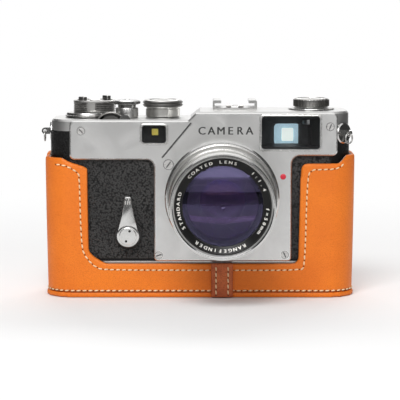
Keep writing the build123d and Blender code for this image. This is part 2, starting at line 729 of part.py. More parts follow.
sprocket_teeth = 8
sprocket_bottom = lens_z - 17.5
sprocket_top = lens_z + 17.5
with BuildPart() as sprocket:
    revolve(rings(upright_plane(sprocket_x, sprocket_y),
                  ((0, sprocket_radius - 1.0, sprocket_bottom, sprocket_top),
                   (0, sprocket_radius - 0.3, sprocket_bottom, sprocket_bottom + 4.0),
                   (0, sprocket_radius - 0.3, sprocket_top - 4.0, sprocket_top),
                   (0, sprocket_shaft, chamber_bottom - 1.6, chamber_top + 1.4))),
            upright_axis(sprocket_x, sprocket_y))
    for level in (sprocket_bottom + 1.4, sprocket_top - 2.6):
        with BuildSketch(Plane.XY.offset(level)):
            with Locations((sprocket_x, sprocket_y)):
                with PolarLocations(sprocket_radius - 0.4, sprocket_teeth):
                    Rectangle(1.6, 1.2)
        extrude(amount=1.2)
sprocket.part.label = "sprocket"

# ---------------------------------------------------------------- removable back and base
lock_places = (advance_x, rewind_x)
with BuildPart() as back_cover:
    extrude(body_plan(base_bottom), amount=base_top - base_bottom)
    chamfer(back_cover.faces().sort_by(Axis.Z)[0].edges(), 0.6)
    extrude(body_plan(base_bottom + tray_floor, back_wall), amount=base_height, mode=Mode.SUBTRACT)
    extrude(body_plan(base_top), amount=back_top - base_top)
    extrude(body_plan(base_top, back_wall), amount=back_top - base_top, mode=Mode.SUBTRACT)
    extrude(plan_rect(base_top, -far, far, -far, split_y + seam_gap), amount=back_top - base_top,
            mode=Mode.SUBTRACT)
    extrude(plan_circle(base_bottom, 0, 0, bush_radius + loose), amount=tray_floor, mode=Mode.SUBTRACT)
    for place in lock_places:
        extrude(plan_circle(base_bottom, place, 0, lock_shaft + fit), amount=tray_floor,
                mode=Mode.SUBTRACT)
back_cover.part.label = "back_cover"

with BuildPart() as back_covering:
    extrude(body_plan(covering_bottom, -covering_thickness), amount=back_top - covering_bottom - 0.4)
    extrude(body_plan(covering_bottom), amount=back_top - covering_bottom, mode=Mode.SUBTRACT)
    extrude(plan_rect(covering_bottom, -far, far, -far, split_y + seam_gap + 0.1),
            amount=back_top - covering_bottom, mode=Mode.SUBTRACT)
back_covering.part.label = "back_covering"

plate_front_y = gate_rear + 0.7
pressure_thickness = 1.0
with BuildPart() as pressure_plate:
    extrude(face_rect(-plate_front_y - pressure_thickness, lens_x - 24.0, lens_x + 24.0,
                      lens_z - 16.5, lens_z + 16.5, 1.5), amount=pressure_thickness)
    for side in (-1, 1):
        extrude(face_rect(-rear + back_wall, lens_x + side * 14.0 - 4.0, lens_x + side * 14.0 + 4.0,
                          lens_z - 9.0, lens_z + 9.0),
                amount=rear - back_wall - plate_front_y - pressure_thickness)
        extrude(face_rect(-rear + back_wall + 0.4, lens_x + side * 14.0 - 4.0,
                          lens_x + side * 14.0 + 4.0, lens_z - 7.0, lens_z + 7.0),
                amount=rear - back_wall - plate_front_y - pressure_thickness - 0.8, mode=Mode.SUBTRACT)
pressure_plate.part.label = "pressure_plate"


def lock_key(place):
    """A turn key of the removable base: finger disc, pin and inner dog."""
    with BuildPart() as key:
        revolve(rings(upright_plane(place, 0),
                      ((0, 8.0, base_bottom - 1.4, base_bottom - seam_gap),
                       (0, lock_shaft, base_bottom - 1.4, base_bottom + tray_floor + 1.4),
                       (0, 4.5, base_bottom + tray_floor + 0.3, base_bottom + tray_floor + 1.4))),
                upright_axis(place, 0))
        extrude(plan_rect(base_bottom + tray_floor + 0.3, place - 1.5, place + 1.5, 0, 6.5), amount=1.1)
        extrude(plan_rect(base_bottom - 1.4, place - 6.5, place + 6.5, -0.9, 0.9),
                amount=0.7, mode=Mode.SUBTRACT)
    return key.part


with BuildPart() as lock_key_left:
    add(lock_key(lock_places[0]))
lock_key_left.part.label = "lock_key_left"

with BuildPart() as lock_key_right:
    add(lock_key(lock_places[1]))
lock_key_right.part.label = "lock_key_right"

with BuildPart() as tripod_bush:
    revolve(rings(upright_plane(0, 0), ((socket_radius, bush_radius, base_bottom + 0.1,
                                         chamber_bottom - 3.4),)), upright_axis(0, 0))
tripod_bush.part.label = "tripod_bush"

# ---------------------------------------------------------------- winding, counter, release, dial
lever_angle = 40.0
lever_reach = 22.0
lever_disc_radius = 10.5
lever_bottom = low_top + 0.2
lever_top = low_top + 2.2
counter_bottom = lever_top + 0.2
counter_top = low_top + 7.8
counter_radius = 10.0
counter_post = 3.0
with BuildPart() as advance_lever:
    revolve(rings(upright_plane(advance_x, advance_y),
                  ((0, lever_disc_radius, lever_bottom, lever_top),
                   (0, advance_shaft, housing_floor + 0.3, lever_bottom),
                   (0, counter_post, lever_top, counter_top - 2.0))),
            upright_axis(advance_x, advance_y))
    with BuildSketch(Plane.XY.offset(lever_bottom)):
        with Locations(Location((advance_x, advance_y, 0), (0, 0, lever_angle))):
            with Locations((lever_reach / 2, 1.5)):
                SlotOverall(lever_reach, 5.0)
    extrude(amount=lever_top - lever_bottom - 0.4)
advance_lever.part.label = "advance_lever"

with BuildPart() as frame_counter_drum:
    revolve(rings(upright_plane(advance_x, advance_y),
                  ((counter_post + fit, counter_radius, counter_bottom, counter_top - 1.6),
                   (0, counter_radius - 0.6, counter_top - 1.9, counter_top))),
            upright_axis(advance_x, advance_y))
    with BuildSketch(Plane.XY.offset(counter_top)):
        with Locations((advance_x, advance_y)):
            with PolarLocations(7.6, 2, start_angle=60):
                Rectangle(1.6, 2.4)
    extrude(amount=1.8)
frame_counter_drum.part.label = "frame_counter_drum"

collar_top = low_top + 4.6
button_bottom = low_top + 6.2
press_travel = 1.5
with BuildPart() as release_collar:
    revolve(rings(upright_plane(release_x, release_y),
                  ((4.3, 5.2, low_top + 0.1, collar_top),
                   (release_stem + fit, 5.2, low_top + 0.1, low_top + 0.8))),
            upright_axis(release_x, release_y))
release_collar.part.label = "release_collar"

with BuildPart() as release_button:
    revolve(rings(upright_plane(release_x, release_y),
                  ((0, 6.05, button_bottom, button_bottom + 1.7),
                   (0, 4.2, collar_top - 2.0, button_bottom),
                   (0, release_stem, housing_floor + press_travel + 0.3, button_bottom),
                   (0, 4.6, button_bottom + 1.7, button_bottom + 2.1))),
            upright_axis(release_x, release_y))
    extrude(plan_circle(button_bottom + 0.7, release_x, release_y, 1.2), amount=2.0, mode=Mode.SUBTRACT)
release_button.part.label = "release_button"

dial_flare = low_top + 4.7
dial_top = low_top + 8.1
with BuildPart() as speed_dial:
    revolve(rings(upright_plane(dial_x, dial_y),
                  ((0, 7.9, low_top + 0.3, dial_flare),
                   (0, 9.1, dial_flare, dial_top),
                   (0, dial_shaft, housing_floor + 0.3, low_top + 0.3))),
            upright_axis(dial_x, dial_y))
    chamfer(speed_dial.edges().group_by(Axis.Z)[-1], 0.4)
speed_dial.part.label = "speed_dial"

rewind_base_radius = 10.6
sleeve_bottom = housing_floor + 0.3
sleeve_top = high_top + 0.8
rewind_knob_bottom = sleeve_top + 0.3
rewind_knob_top = high_top + 5.2
with BuildPart() as rewind_sleeve:
    revolve(rings(upright_plane(rewind_x, rewind_y),
                  ((rewind_shaft_radius + fit, sleeve_radius, sleeve_bottom, sleeve_top),
                   (rewind_shaft_radius + fit, rewind_base_radius, high_top + 0.2, sleeve_top))),
            upright_axis(rewind_x, rewind_y))
rewind_sleeve.part.label = "rewind_sleeve"

with BuildPart() as rewind_shaft:
    extrude(plan_circle(chamber_top - 7.0, rewind_x, rewind_y, rewind_shaft_radius),
            amount=rewind_knob_bottom + 2.0 - chamber_top + 7.0)
    extrude(plan_rect(chamber_top - 7.0, rewind_x - 0.7, rewind_x + 0.7, -far, far), amount=3.5,
            mode=Mode.SUBTRACT)
rewind_shaft.part.label = "rewind_shaft"

with BuildPart() as rewind_knob:
    revolve(rings(upright_plane(rewind_x, rewind_y),
                  ((0, 8.35, rewind_knob_bottom + 2.0, rewind_knob_top),
                   (rewind_shaft_radius, 8.35, rewind_knob_bottom, rewind_knob_bottom + 2.0))),
            upright_axis(rewind_x, rewind_y))
    chamfer(rewind_knob.edges().group_by(Axis.Z)[-1], 0.4)
rewind_knob.part.label = "rewind_knob"

# ---------------------------------------------------------------- focusing wheel and idlers
wheel_radius = 7.1
wheel_front = front - 3.4
wheel_back = front - 6.4
with BuildPart() as focusing_wheel:
    revolve(rings(forward_plane(*wheel_centre),
                  ((0, wheel_radius, wheel_back, wheel_front),
                   (0, wheel_shaft, front - 12.6, gear_back))),
            forward_axis(*wheel_centre))
    chamfer(rims(focusing_wheel, wheel_radius), 0.3)
    extrude(gear_outline(wheel_centre, wheel_teeth, wheel_phase), amount=gear_width)
focusing_wheel.part.label = "focusing_wheel"


def idler(centre, phase):
    """An idler gear with its axle, which runs in the casting."""
    with BuildPart() as gear:
        extrude(gear_outline(centre, idler_teeth, phase), amount=gear_width)
        extrude(face_circle(pocket_back - 2.0, *centre, idler_axle), amount=front - pocket_back + 1.6)
        with BuildSketch(front_plane(gear_back)):
            with Locations(centre):
                with PolarLocations(pitch_radius(idler_teeth) * 0.55, 4):
                    Circle(1.6)
        extrude(amount=gear_width, mode=Mode.SUBTRACT)
    return gear.part


with BuildPart() as idler_gear_lower:
    add(idler(lower_centre, lower_phase))
idler_gear_lower.part.label = "idler_gear_lower"

with BuildPart() as idler_gear_upper:
    add(idler(upper_centre, upper_phase))
idler_gear_upper.part.label = "idler_gear_upper"

with BuildPart() as mount_gear:
    extrude(gear_outline(mount_centre, mount_teeth, mount_phase), amount=gear_width)
    extrude(face_circle(collar_back + 0.2, lens_x, lens_z, collar_outer),
            amount=gear_back - collar_back - 0.2)
    extrude(face_circle(collar_back, lens_x, lens_z, collar_inner), amount=far, mode=Mode.SUBTRACT)
mount_gear.part.label = "mount_gear"

# ---------------------------------------------------------------- lens
lens_plane = forward_plane(lens_x, lens_z)
lens_axis = forward_axis(lens_x, lens_z)
mount_front = plate_front + mount_ring_depth
distance_start = mount_front + 0.2
distance_end = plate_front + 9.0
aperture_start = plate_front + 16.0
aperture_end = plate_front + 23.0
barrel_front = plate_front + 35.0
rim_front = plate_front + 38.0
distance_radius = 25.0
barrel_radius = 23.2
front_barrel_radius = 22.9
aperture_radius = 24.3
aperture_seat = 20.6
cam_inner = 18.3
helicoid_radius = cam_inner - fit
tail_radius = collar_inner - 0.7
lens_bore = 15.4
front_glass_radius = 17.8
name_ring_radius = 21.3
filter_bore = 22.0
thread_relief = 0.3
rim_radius = 23.3
cam_back = gear_front + 0.6
tail_back = -light_box_front + 0.4

with BuildPart() as lens_mount_ring:
    revolve(rings(lens_plane, ((mount_bore, mount_ring_radius, plate_front, mount_front),
                               (mount_bore, mount_bore + 2.1, cam_back - 0.2, plate_front))), lens_axis)
    chamfer(lens_mount_ring.faces().sort_by(Axis.Y)[0].edges().sort_by(SortBy.RADIUS)[-1], 0.5)
lens_mount_ring.part.label = "lens_mount_ring"

with BuildPart() as cam_ring:
    revolve(rings(lens_plane, ((cam_inner, mount_bore - 0.08, cam_back, mount_front - 0.2),)), lens_axis)
cam_ring.part.label = "cam_ring"

with BuildPart() as lens_barrel:
    revolve(half_section(lens_plane, (
        (lens_bore, tail_back), (tail_radius, tail_back), (tail_radius, cam_back),
        (helicoid_radius, cam_back), (helicoid_radius, distance_start),
        (barrel_radius - 1.2, distance_start), (barrel_radius - 1.2, distance_end),
        (barrel_radius, distance_end), (barrel_radius, aperture_start - slide_gap),
        (aperture_seat, aperture_start - slide_gap), (aperture_seat, aperture_end + slide_gap),
        (front_barrel_radius, aperture_end + slide_gap), (front_barrel_radius, barrel_front),
        (name_ring_radius + 0.1, barrel_front), (name_ring_radius + 0.1, barrel_front - 3.4),
        (front_glass_radius + 0.1, barrel_front - 3.4), (front_glass_radius + 0.1, barrel_front - 9.0),
        (lens_bore, barrel_front - 9.0))), lens_axis)
lens_barrel.part.label = "lens_barrel"

with BuildPart() as distance_ring:
    revolve(rings(lens_plane, ((barrel_radius - 1.2, distance_radius, distance_start, distance_end),)),
            lens_axis)
    chamfer(rims(distance_ring, distance_radius), 0.4)
distance_ring.part.label = "distance_ring"

with BuildPart() as aperture_ring:
    revolve(rings(lens_plane, ((aperture_seat + fit, aperture_radius, aperture_start, aperture_end),)),
            lens_axis)
    chamfer(rims(aperture_ring, aperture_radius), 0.4)
aperture_ring.part.label = "aperture_ring"

with BuildPart() as filter_rim:
    revolve(half_section(lens_plane, (
        (filter_bore + thread_relief, barrel_front), (rim_radius, barrel_front), (rim_radius, rim_front),
        (filter_bore, rim_front), (filter_bore, barrel_front + thread_relief),
        (filter_bore + thread_relief, barrel_front + thread_relief))), lens_axis)
    chamfer(filter_rim.faces().sort_by(Axis.Y)[0].edges(), 0.3)
filter_rim.part.label = "filter_rim"

with BuildPart() as name_ring:
    revolve(half_section(lens_plane, (
        (front_glass_radius + 0.1, barrel_front - 3.3), (name_ring_radius, barrel_front - 3.3),
        (name_ring_radius, barrel_front - 0.4), (name_ring_radius - 0.4, barrel_front - 0.4),
        (front_glass_radius + 0.1, barrel_front - 2.4))), lens_axis)
name_ring.part.label = "name_ring"

glass_edge = barrel_front - 3.0
glass_bulge = 2.6
glass_back = glass_edge - 4.0
rear_hollow = 1.9


def sagitta(depth, radius):
    """Fall of a spherical face at half its radius, for a given depth over the full radius."""
    sphere = (radius ** 2 + depth ** 2) / (2 * depth)
    return sphere - sqrt(sphere ** 2 - radius ** 2 / 4)


with BuildPart() as front_element:
    with BuildSketch(lens_plane):
        with BuildLine():
            ThreePointArc((0, glass_edge + glass_bulge),
                          (front_glass_radius / 2,
                           glass_edge + glass_bulge - sagitta(glass_bulge, front_glass_radius)),
                          (front_glass_radius, glass_edge))
            Line((front_glass_radius, glass_edge), (front_glass_radius, glass_back))
            ThreePointArc((front_glass_radius, glass_back),
                          (front_glass_radius / 2,
                           glass_back + rear_hollow - sagitta(rear_hollow, front_glass_radius)),
                          (0, glass_back + rear_hollow))
            Line((0, glass_back + rear_hollow), (0, glass_edge + glass_bulge))
        make_face()
    revolve(axis=lens_axis)
front_element.part.label = "front_element"

iris_forward = aperture_start - 2.0
with BuildPart() as rear_elements:
    for start, thickness in ((tail_back + 1.0, 5.0), (tail_back + 9.0, 4.0), (iris_forward + 6.0, 4.0)):
        revolve(rings(lens_plane, ((0, lens_bore - fit, start, start + thickness),)), lens_axis)
rear_elements.part.label = "rear_elements"

blade_count = 10
with BuildPart() as iris_blades:
    with BuildSketch(front_plane(iris_forward)):
        with Locations((lens_x, lens_z)):
            Circle(lens_bore - fit)
            Circle(9.5, mode=Mode.SUBTRACT)
            with PolarLocations(12.0, blade_count):
                Rectangle(8.0, 0.12, rotation=38, mode=Mode.SUBTRACT)
    extrude(amount=0.3)
iris_blades.part.label = "iris_blades"

# ---------------------------------------------------------------- self-timer
escutcheon_radius = 6.3
escutcheon_depth = 1.2
hub_radius = 5.15
hub_back = front + covering_thickness + escutcheon_depth + 0.2
lever_back = hub_back + 2.3
lever_front = lever_back + 2.0
lever_length = 17.9
with BuildPart() as self_timer_escutcheon:
    revolve(rings(forward_plane(timer_x, timer_z),
                  ((timer_shaft + fit, escutcheon_radius, front + covering_thickness,
                    front + covering_thickness + escutcheon_depth),)), forward_axis(timer_x, timer_z))
    chamfer(self_timer_escutcheon.faces().sort_by(Axis.Y)[0].edges().sort_by(SortBy.RADIUS)[-1], 0.5)
self_timer_escutcheon.part.label = "self_timer_escutcheon"

with BuildPart() as self_timer_lever:
    revolve(rings(forward_plane(timer_x, timer_z),
                  ((0, timer_shaft, front - 5.6, hub_back),
                   (0, hub_radius - 1.0, hub_back, lever_back),
                   (0, hub_radius, lever_back, lever_front),
                   (0, 3.8, lever_front, lever_front + 0.5))), forward_axis(timer_x, timer_z))
    extrude(face_outline(lever_back, (
        (timer_x - 4.6, timer_z + 2.4), (timer_x + 4.6, timer_z + 2.4),
        (timer_x + 2.4, timer_z + 12.4), (timer_x + 1.75, timer_z + lever_length),
        (timer_x - 1.75, timer_z + lever_length), (timer_x - 2.4, timer_z + 12.4)),
        [0.0, 0.0, 0.0, 0.8, 0.8, 0.0]), amount=lever_front - lever_back)
    for hole_x, hole_z in ((0.8, 2.5), (-0.9, -3.0)):
        extrude(face_circle(lever_front, timer_x + hole_x, timer_z + hole_z, 0.5), amount=1.0,
                mode=Mode.SUBTRACT)
self_timer_lever.part.label = "self_timer_lever"

# ---------------------------------------------------------------- infinity lock beside the wheel
with BuildPart() as infinity_lock:
    extrude(face_circle(lock_slot[0], lock_x, low_top - 0.4, lock_radius),
            amount=lock_slot[1] - lock_slot[0])
    extrude(face_rect(lock_slot[0], lock_x - 1.2, lock_x + 1.2, casting_top + 1.3, low_top - 0.4),
            amount=lock_slot[1] - lock_slot[0])
infinity_lock.part.label = "infinity_lock"

# ---------------------------------------------------------------- strap lugs and rings
lug_radius = 4.8
lug_disc = 1.0
ear_reach = 3.6
ear_radius = 1.5
ear_half_thickness = 0.6
ear_hole = 0.7
ring_radius = 2.3
ring_wire = 0.35
lug_z = casting_top - 1.0
corner_offset = body_corner * sqrt(0.5)
lug_bases = {
    "left": ((-half_width - 0.0, 0.0), 180.0),
    "right": ((half_width - body_corner + corner_offset, -front + body_corner - corner_offset), -45.0),
}


def lug_frame(side):
    """Plane on the body's skin at a lug: z points outward, y up and x along the skin."""
    (base_x, base_y), angle = lug_bases[side]
    outward = Vector(cos(radians(angle)), sin(radians(angle)), 0)
    along = Vector(-outward.Y, outward.X, 0)
    return Plane(origin=(base_x, base_y, lug_z), x_dir=along, z_dir=outward)


def lug(side):
    """A domed disc with a drilled ear for the strap ring."""
    frame = lug_frame(side)
    with BuildPart() as piece:
        with BuildSketch(frame.offset(-0.6)):
            Circle(lug_radius)
        extrude(amount=lug_disc + 0.6, taper=0)
        chamfer(piece.edges().group_by(Axis(frame.origin, frame.z_dir))[-1], 0.5)
        ear_plane = Plane(origin=frame.origin, x_dir=frame.z_dir, z_dir=frame.x_dir)
        with BuildSketch(ear_plane.offset(-ear_half_thickness)):
            with Locations((ear_reach, 0)):
                Circle(ear_radius)
            with Locations((ear_reach / 2, 0)):
                Rectangle(ear_reach, 2 * ear_radius)
            with Locations((ear_reach, 0)):
                Circle(ear_hole, mode=Mode.SUBTRACT)
        extrude(amount=2 * ear_half_thickness)
    return piece.part


def strap_ring(side):
    """A wire ring that hangs through the ear, swung out a little."""
    frame = lug_frame(side)
    hole = Vector(*frame.origin) + Vector(*frame.z_dir) * ear_reach
    swing = radians(ring_rest_swing)
    down = Vector(0, 0, -cos(swing)) + Vector(*frame.z_dir) * sin(swing)
    along = Vector(*frame.x_dir)
    centre = hole + down * ring_radius
    ring_plane = Plane(origin=centre, x_dir=along, z_dir=along.cross(down))
    with BuildPart() as piece:
        with BuildSketch(Plane(origin=centre, x_dir=along, z_dir=down)):
            with Locations((ring_radius, 0)):
                Circle(ring_wire)
        revolve(axis=Axis(centre, ring_plane.z_dir))
    return piece.part


ring_rest_swing = 0.0
with BuildPart() as strap_lugs:
    add(lug("left"))
    add(lug("right"))
    add(body_casting.part, mode=Mode.SUBTRACT)
    add(grip_covering_left.part, mode=Mode.SUBTRACT)
    add(grip_covering_right.part, mode=Mode.SUBTRACT)
    add(top_cover.part, mode=Mode.SUBTRACT)
    add(front_plate.part, mode=Mode.SUBTRACT)
strap_lugs.part.label = "strap_lugs"

with BuildPart() as strap_ring_left:
    add(strap_ring("left"))
strap_ring_left.part.label = "strap_ring_left"

with BuildPart() as strap_ring_right:
    add(strap_ring("right"))
strap_ring_right.part.label = "strap_ring_right"

# ---------------------------------------------------------------- leather half case
case_inset = -(covering_thickness + case_clearance)
case_outset = case_inset - leather_thickness
case_left_top = base_bottom + 54.3
case_right_top = base_bottom + 55.4
case_back_top = base_bottom + 51.2
bow_left = -half_width + 16.4
bow_right = half_width - 22.6
bow_bottom = base_top - 0.8
screw_head_radius = 8.0
screw_head_top = leather_thickness + 4.3
case_end = half_width - case_outset + 1.0
opening_points = (
    (-case_end, case_left_top),
    (plate_left - 3.2, case_left_top),
    (plate_left - 0.6, arm_left_bottom - 0.8),
    (bow_left - 1.6, base_bottom + 50.6),
    (bow_left + 0.5, base_bottom + 49.6),
    (bow_left + 0.6, base_top + 4.0),
    (bow_left + 8.0, bow_bottom),
    (bow_right - 0.4, bow_bottom),
    (bow_right + 0.3, base_bottom + 51.8),
    (plate_right + 1.1, base_bottom + 51.8),
    (plate_right + 4.0, case_right_top),
    (case_end, case_right_top),
    (case_end, far),
    (-case_end, far),
)
opening_corners = [0.0, 1.4, 1.6, 1.6, 0.6, 5.0, 4.0, 2.4, 3.4, 2.0, 1.4, 0.0, 0.0, 0.0]

with BuildPart() as case_shell:
    extrude(body_plan(leather_thickness, case_outset), amount=case_right_top - leather_thickness)
    extrude(body_plan(leather_thickness, case_inset), amount=case_right_top, mode=Mode.SUBTRACT)
    extrude(face_outline(0, opening_points, opening_corners), amount=far, mode=Mode.SUBTRACT)
    extrude(plan_rect(case_back_top, -half_width + 12.0, half_width - 12.0, 0, far), amount=far,
            mode=Mode.SUBTRACT)
case_shell.part.label = "case_shell"

with BuildPart() as case_sole:
    extrude(body_plan(0, case_outset), amount=leather_thickness)
    extrude(plan_circle(0, 0, 0, screw_head_radius + loose), amount=leather_thickness,
            mode=Mode.SUBTRACT)
case_sole.part.label = "case_sole"

with BuildPart() as case_filler:
    extrude(body_plan(leather_thickness, case_inset), amount=case_board)
    extrude(plan_circle(leather_thickness, 0, 0, screw_head_radius + loose),
            amount=screw_head_top + seam_gap - leather_thickness, mode=Mode.SUBTRACT)
    extrude(plan_circle(leather_thickness, 0, 0, socket_radius + loose), amount=case_board,
            mode=Mode.SUBTRACT)
    for place in lock_places:
        extrude(plan_circle(base_bottom - 2.4, place, 0, 9.5), amount=far, mode=Mode.SUBTRACT)
case_filler.part.label = "case_filler"

strap_thickness = 1.6
strap_left = lens_x - 4.9
strap_right = lens_x + 5.0
with BuildPart() as case_strap:
    extrude(face_rect(front - case_outset, strap_left, strap_right, 0.2, bow_bottom + 0.4),
            amount=strap_thickness)
    chamfer(case_strap.faces().sort_by(Axis.Y)[0].edges(), 0.3)
case_strap.part.label = "case_strap"

screw_thread = socket_radius - 0.075
with BuildPart() as case_screw:
    revolve(rings(upright_plane(0, 0), ((0, screw_head_radius, 0, screw_head_top),
                                        (0, screw_thread, screw_head_top, base_bottom + 5.4))),
            upright_axis(0, 0))
    extrude(plan_circle(0, 0, 0, socket_radius), amount=5.0, mode=Mode.SUBTRACT)
case_screw.part.label = "case_screw"

# ---------------------------------------------------------------- one STEP file for each piece
pieces = (
    body_casting, top_cover, front_plate, front_plate_screws, grip_covering_left,
    grip_covering_right, viewfinder_window, rangefinder_window, viewfinder_lens,
    rangefinder_prism, eyepiece_ring, eyepiece_lens, accessory_shoe, shoe_spring, light_box,
    film_gate, shutter_curtain, shutter_drum_left, shutter_drum_right, take_up_spool, sprocket,
    back_cover, back_covering, pressure_plate, lock_key_left, lock_key_right, tripod_bush,
    advance_lever, frame_counter_drum, release_collar, release_button, speed_dial,
    rewind_sleeve, rewind_shaft, rewind_knob, focusing_wheel, idler_gear_lower,
    idler_gear_upper, mount_gear, lens_mount_ring, cam_ring, lens_barrel, distance_ring,
    aperture_ring, filter_rim, name_ring, front_element, rear_elements, iris_blades,
    self_timer_escutcheon, self_timer_lever, infinity_lock, strap_lugs, strap_ring_left,
    strap_ring_right, case_shell, case_sole, case_filler, case_strap, case_screw,
)
for piece in pieces:
    export_step(piece.part, f"parts/{piece.part.label}.step")
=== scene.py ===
"""Looks of a rangefinder camera in its leather half case: its pieces, finishes, stage and camera."""
from __future__ import annotations

import logging
import math
from dataclasses import dataclass
from enum import Enum
from typing import Callable, Iterable, Sequence

import bpy
from mathutils import Matrix, Vector

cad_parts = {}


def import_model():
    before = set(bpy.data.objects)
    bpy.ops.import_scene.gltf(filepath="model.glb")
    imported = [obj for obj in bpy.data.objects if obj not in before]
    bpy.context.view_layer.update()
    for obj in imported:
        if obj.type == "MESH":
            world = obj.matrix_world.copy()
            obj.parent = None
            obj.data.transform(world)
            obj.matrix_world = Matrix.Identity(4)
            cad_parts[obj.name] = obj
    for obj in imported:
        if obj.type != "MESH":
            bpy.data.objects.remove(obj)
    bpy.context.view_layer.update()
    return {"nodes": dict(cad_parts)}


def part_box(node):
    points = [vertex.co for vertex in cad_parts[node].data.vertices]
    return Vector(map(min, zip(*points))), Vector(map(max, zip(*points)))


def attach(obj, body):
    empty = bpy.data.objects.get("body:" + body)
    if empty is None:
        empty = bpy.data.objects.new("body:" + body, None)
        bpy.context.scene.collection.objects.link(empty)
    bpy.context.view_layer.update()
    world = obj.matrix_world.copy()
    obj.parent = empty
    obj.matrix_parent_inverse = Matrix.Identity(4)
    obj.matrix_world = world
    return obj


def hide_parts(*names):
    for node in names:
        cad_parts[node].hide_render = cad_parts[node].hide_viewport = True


LOG = logging.getLogger("rangefinder")
MM = 0.001
Station = tuple[float, float]
Colour = tuple[float, float, float]


# ------------------------------------------------------------------ mesh tools
class Facing(Enum):
    """Which way a turned piece's own +Z points once it is in place."""

    UP = "up"
    FORWARD = "forward"


def deselect() -> None:
    """Leaves edit mode and selects nothing."""
    if bpy.context.object and bpy.context.object.mode != "OBJECT":
        bpy.ops.object.mode_set(mode="OBJECT")
    bpy.ops.object.select_all(action="DESELECT")


def activate(obj: bpy.types.Object) -> None:
    """Makes obj the one selected and active object."""
    deselect()
    obj.select_set(True)
    bpy.context.view_layer.objects.active = obj


def edit(obj: bpy.types.Object, mode: str = "FACE") -> None:
    """Opens edit mode on obj with nothing selected."""
    activate(obj)
    bpy.ops.object.mode_set(mode="EDIT")
    bpy.ops.mesh.select_mode(type=mode)
    bpy.ops.mesh.select_all(action="DESELECT")


def pick_faces(obj: bpy.types.Object, test: Callable[[bpy.types.MeshPolygon], bool]) -> int:
    """Opens edit mode with the faces that pass a test selected.

    Args:
        obj: The mesh object.
        test: Says whether a face is wanted.

    Returns:
        How many faces are selected.
    """
    edit(obj)
    bpy.ops.object.mode_set(mode="OBJECT")
    count = 0
    for face in obj.data.polygons:
        face.select = test(face)
        count += face.select
    bpy.ops.object.mode_set(mode="EDIT")
    return count


def apply_modifier(obj: bpy.types.Object, kind: str, **settings: object) -> None:
    """Adds a modifier with its settings and applies it."""
    activate(obj)
    modifier = obj.modifiers.new(kind.title(), kind)
    for name, value in settings.items():
        setattr(modifier, name, value)
    bpy.ops.object.modifier_apply(modifier=modifier.name)


def place(obj: bpy.types.Object, matrix: Matrix) -> bpy.types.Object:
    """Moves obj by a matrix and puts the move into its mesh."""
    activate(obj)
    obj.matrix_world = matrix @ obj.matrix_world
    bpy.ops.object.transform_apply(location=True, rotation=True, scale=True)
    return obj


def join(pieces: Sequence[bpy.types.Object]) -> bpy.types.Object:
    """Joins objects into the first one."""
    activate(pieces[0])
    for piece in pieces[1:]:
        piece.select_set(True)
    bpy.ops.object.join()
    return bpy.context.view_layer.objects.active


def copy_of(obj: bpy.types.Object, matrix: Matrix) -> bpy.types.Object:
    """A copy of obj with its own mesh, moved by a matrix."""
    other = obj.copy()
    other.data = obj.data.copy()
    bpy.context.scene.collection.objects.link(other)
    other.data.transform(matrix)
    return other


def frame_matrix(centre: Vector, facing: Facing) -> Matrix:
    """Matrix that stands a piece made about +Z at a place, facing up or forward."""
    turn_over = Matrix.Rotation(math.radians(90), 4, "X") if facing is Facing.FORWARD else Matrix()
    return Matrix.Translation(centre) @ turn_over


def turned(stations: Sequence[Station], segments: int = 128, closed: bool = False) -> bpy.types.Object:
    """Turns a profile about +Z by extruding a ring of edges from station to station.

    Args:
        stations: Radius and height of each ring, in millimetres.
        segments: Edges around.
        closed: True for a ring, whose last station meets its first.

    Returns:
        The new object, about the origin.
    """
    deselect()
    path = [(max(radius, 0.002) * MM, height * MM) for radius, height in stations]
    if closed:
        path.append(path[0])
    bpy.ops.mesh.primitive_circle_add(vertices=segments, radius=path[0][0], fill_type="NOTHING",
                                      location=(0, 0, path[0][1]))
    obj = bpy.context.active_object
    bpy.ops.object.transform_apply(location=True, rotation=True, scale=True)
    bpy.ops.object.mode_set(mode="EDIT")
    bpy.ops.mesh.select_mode(type="VERT")
    bpy.ops.mesh.select_all(action="SELECT")
    for (radius, height), (next_radius, next_height) in zip(path, path[1:]):
        bpy.ops.mesh.extrude_region_move(
            TRANSFORM_OT_translate={"value": (0, 0, next_height - height)})
        scale = next_radius / radius
        bpy.ops.transform.resize(value=(scale, scale, 1), center_override=(0, 0, next_height))
    bpy.ops.mesh.select_all(action="SELECT")
    bpy.ops.mesh.remove_doubles(threshold=5e-6)
    bpy.ops.mesh.normals_make_consistent(inside=False)
    bpy.ops.object.mode_set(mode="OBJECT")
    return obj


def in_band(face: bpy.types.MeshPolygon, low: float, high: float, upright: float = 0.5) -> bool:
    """Whether a face of a turned piece lies between two heights and faces outwards."""
    outward = Vector((face.center.x, face.center.y, 0)).normalized()
    return low * MM < face.center.z < high * MM and face.normal.dot(outward) > upright


def angle_of(face: bpy.types.MeshPolygon) -> float:
    """Where a face of a turned piece lies around +Z, in degrees from 0 to 360."""
    return math.degrees(math.atan2(face.center.y, face.center.x)) % 360


def everywhere(angle: float) -> bool:
    """Says that milling goes all the way round."""
    return True


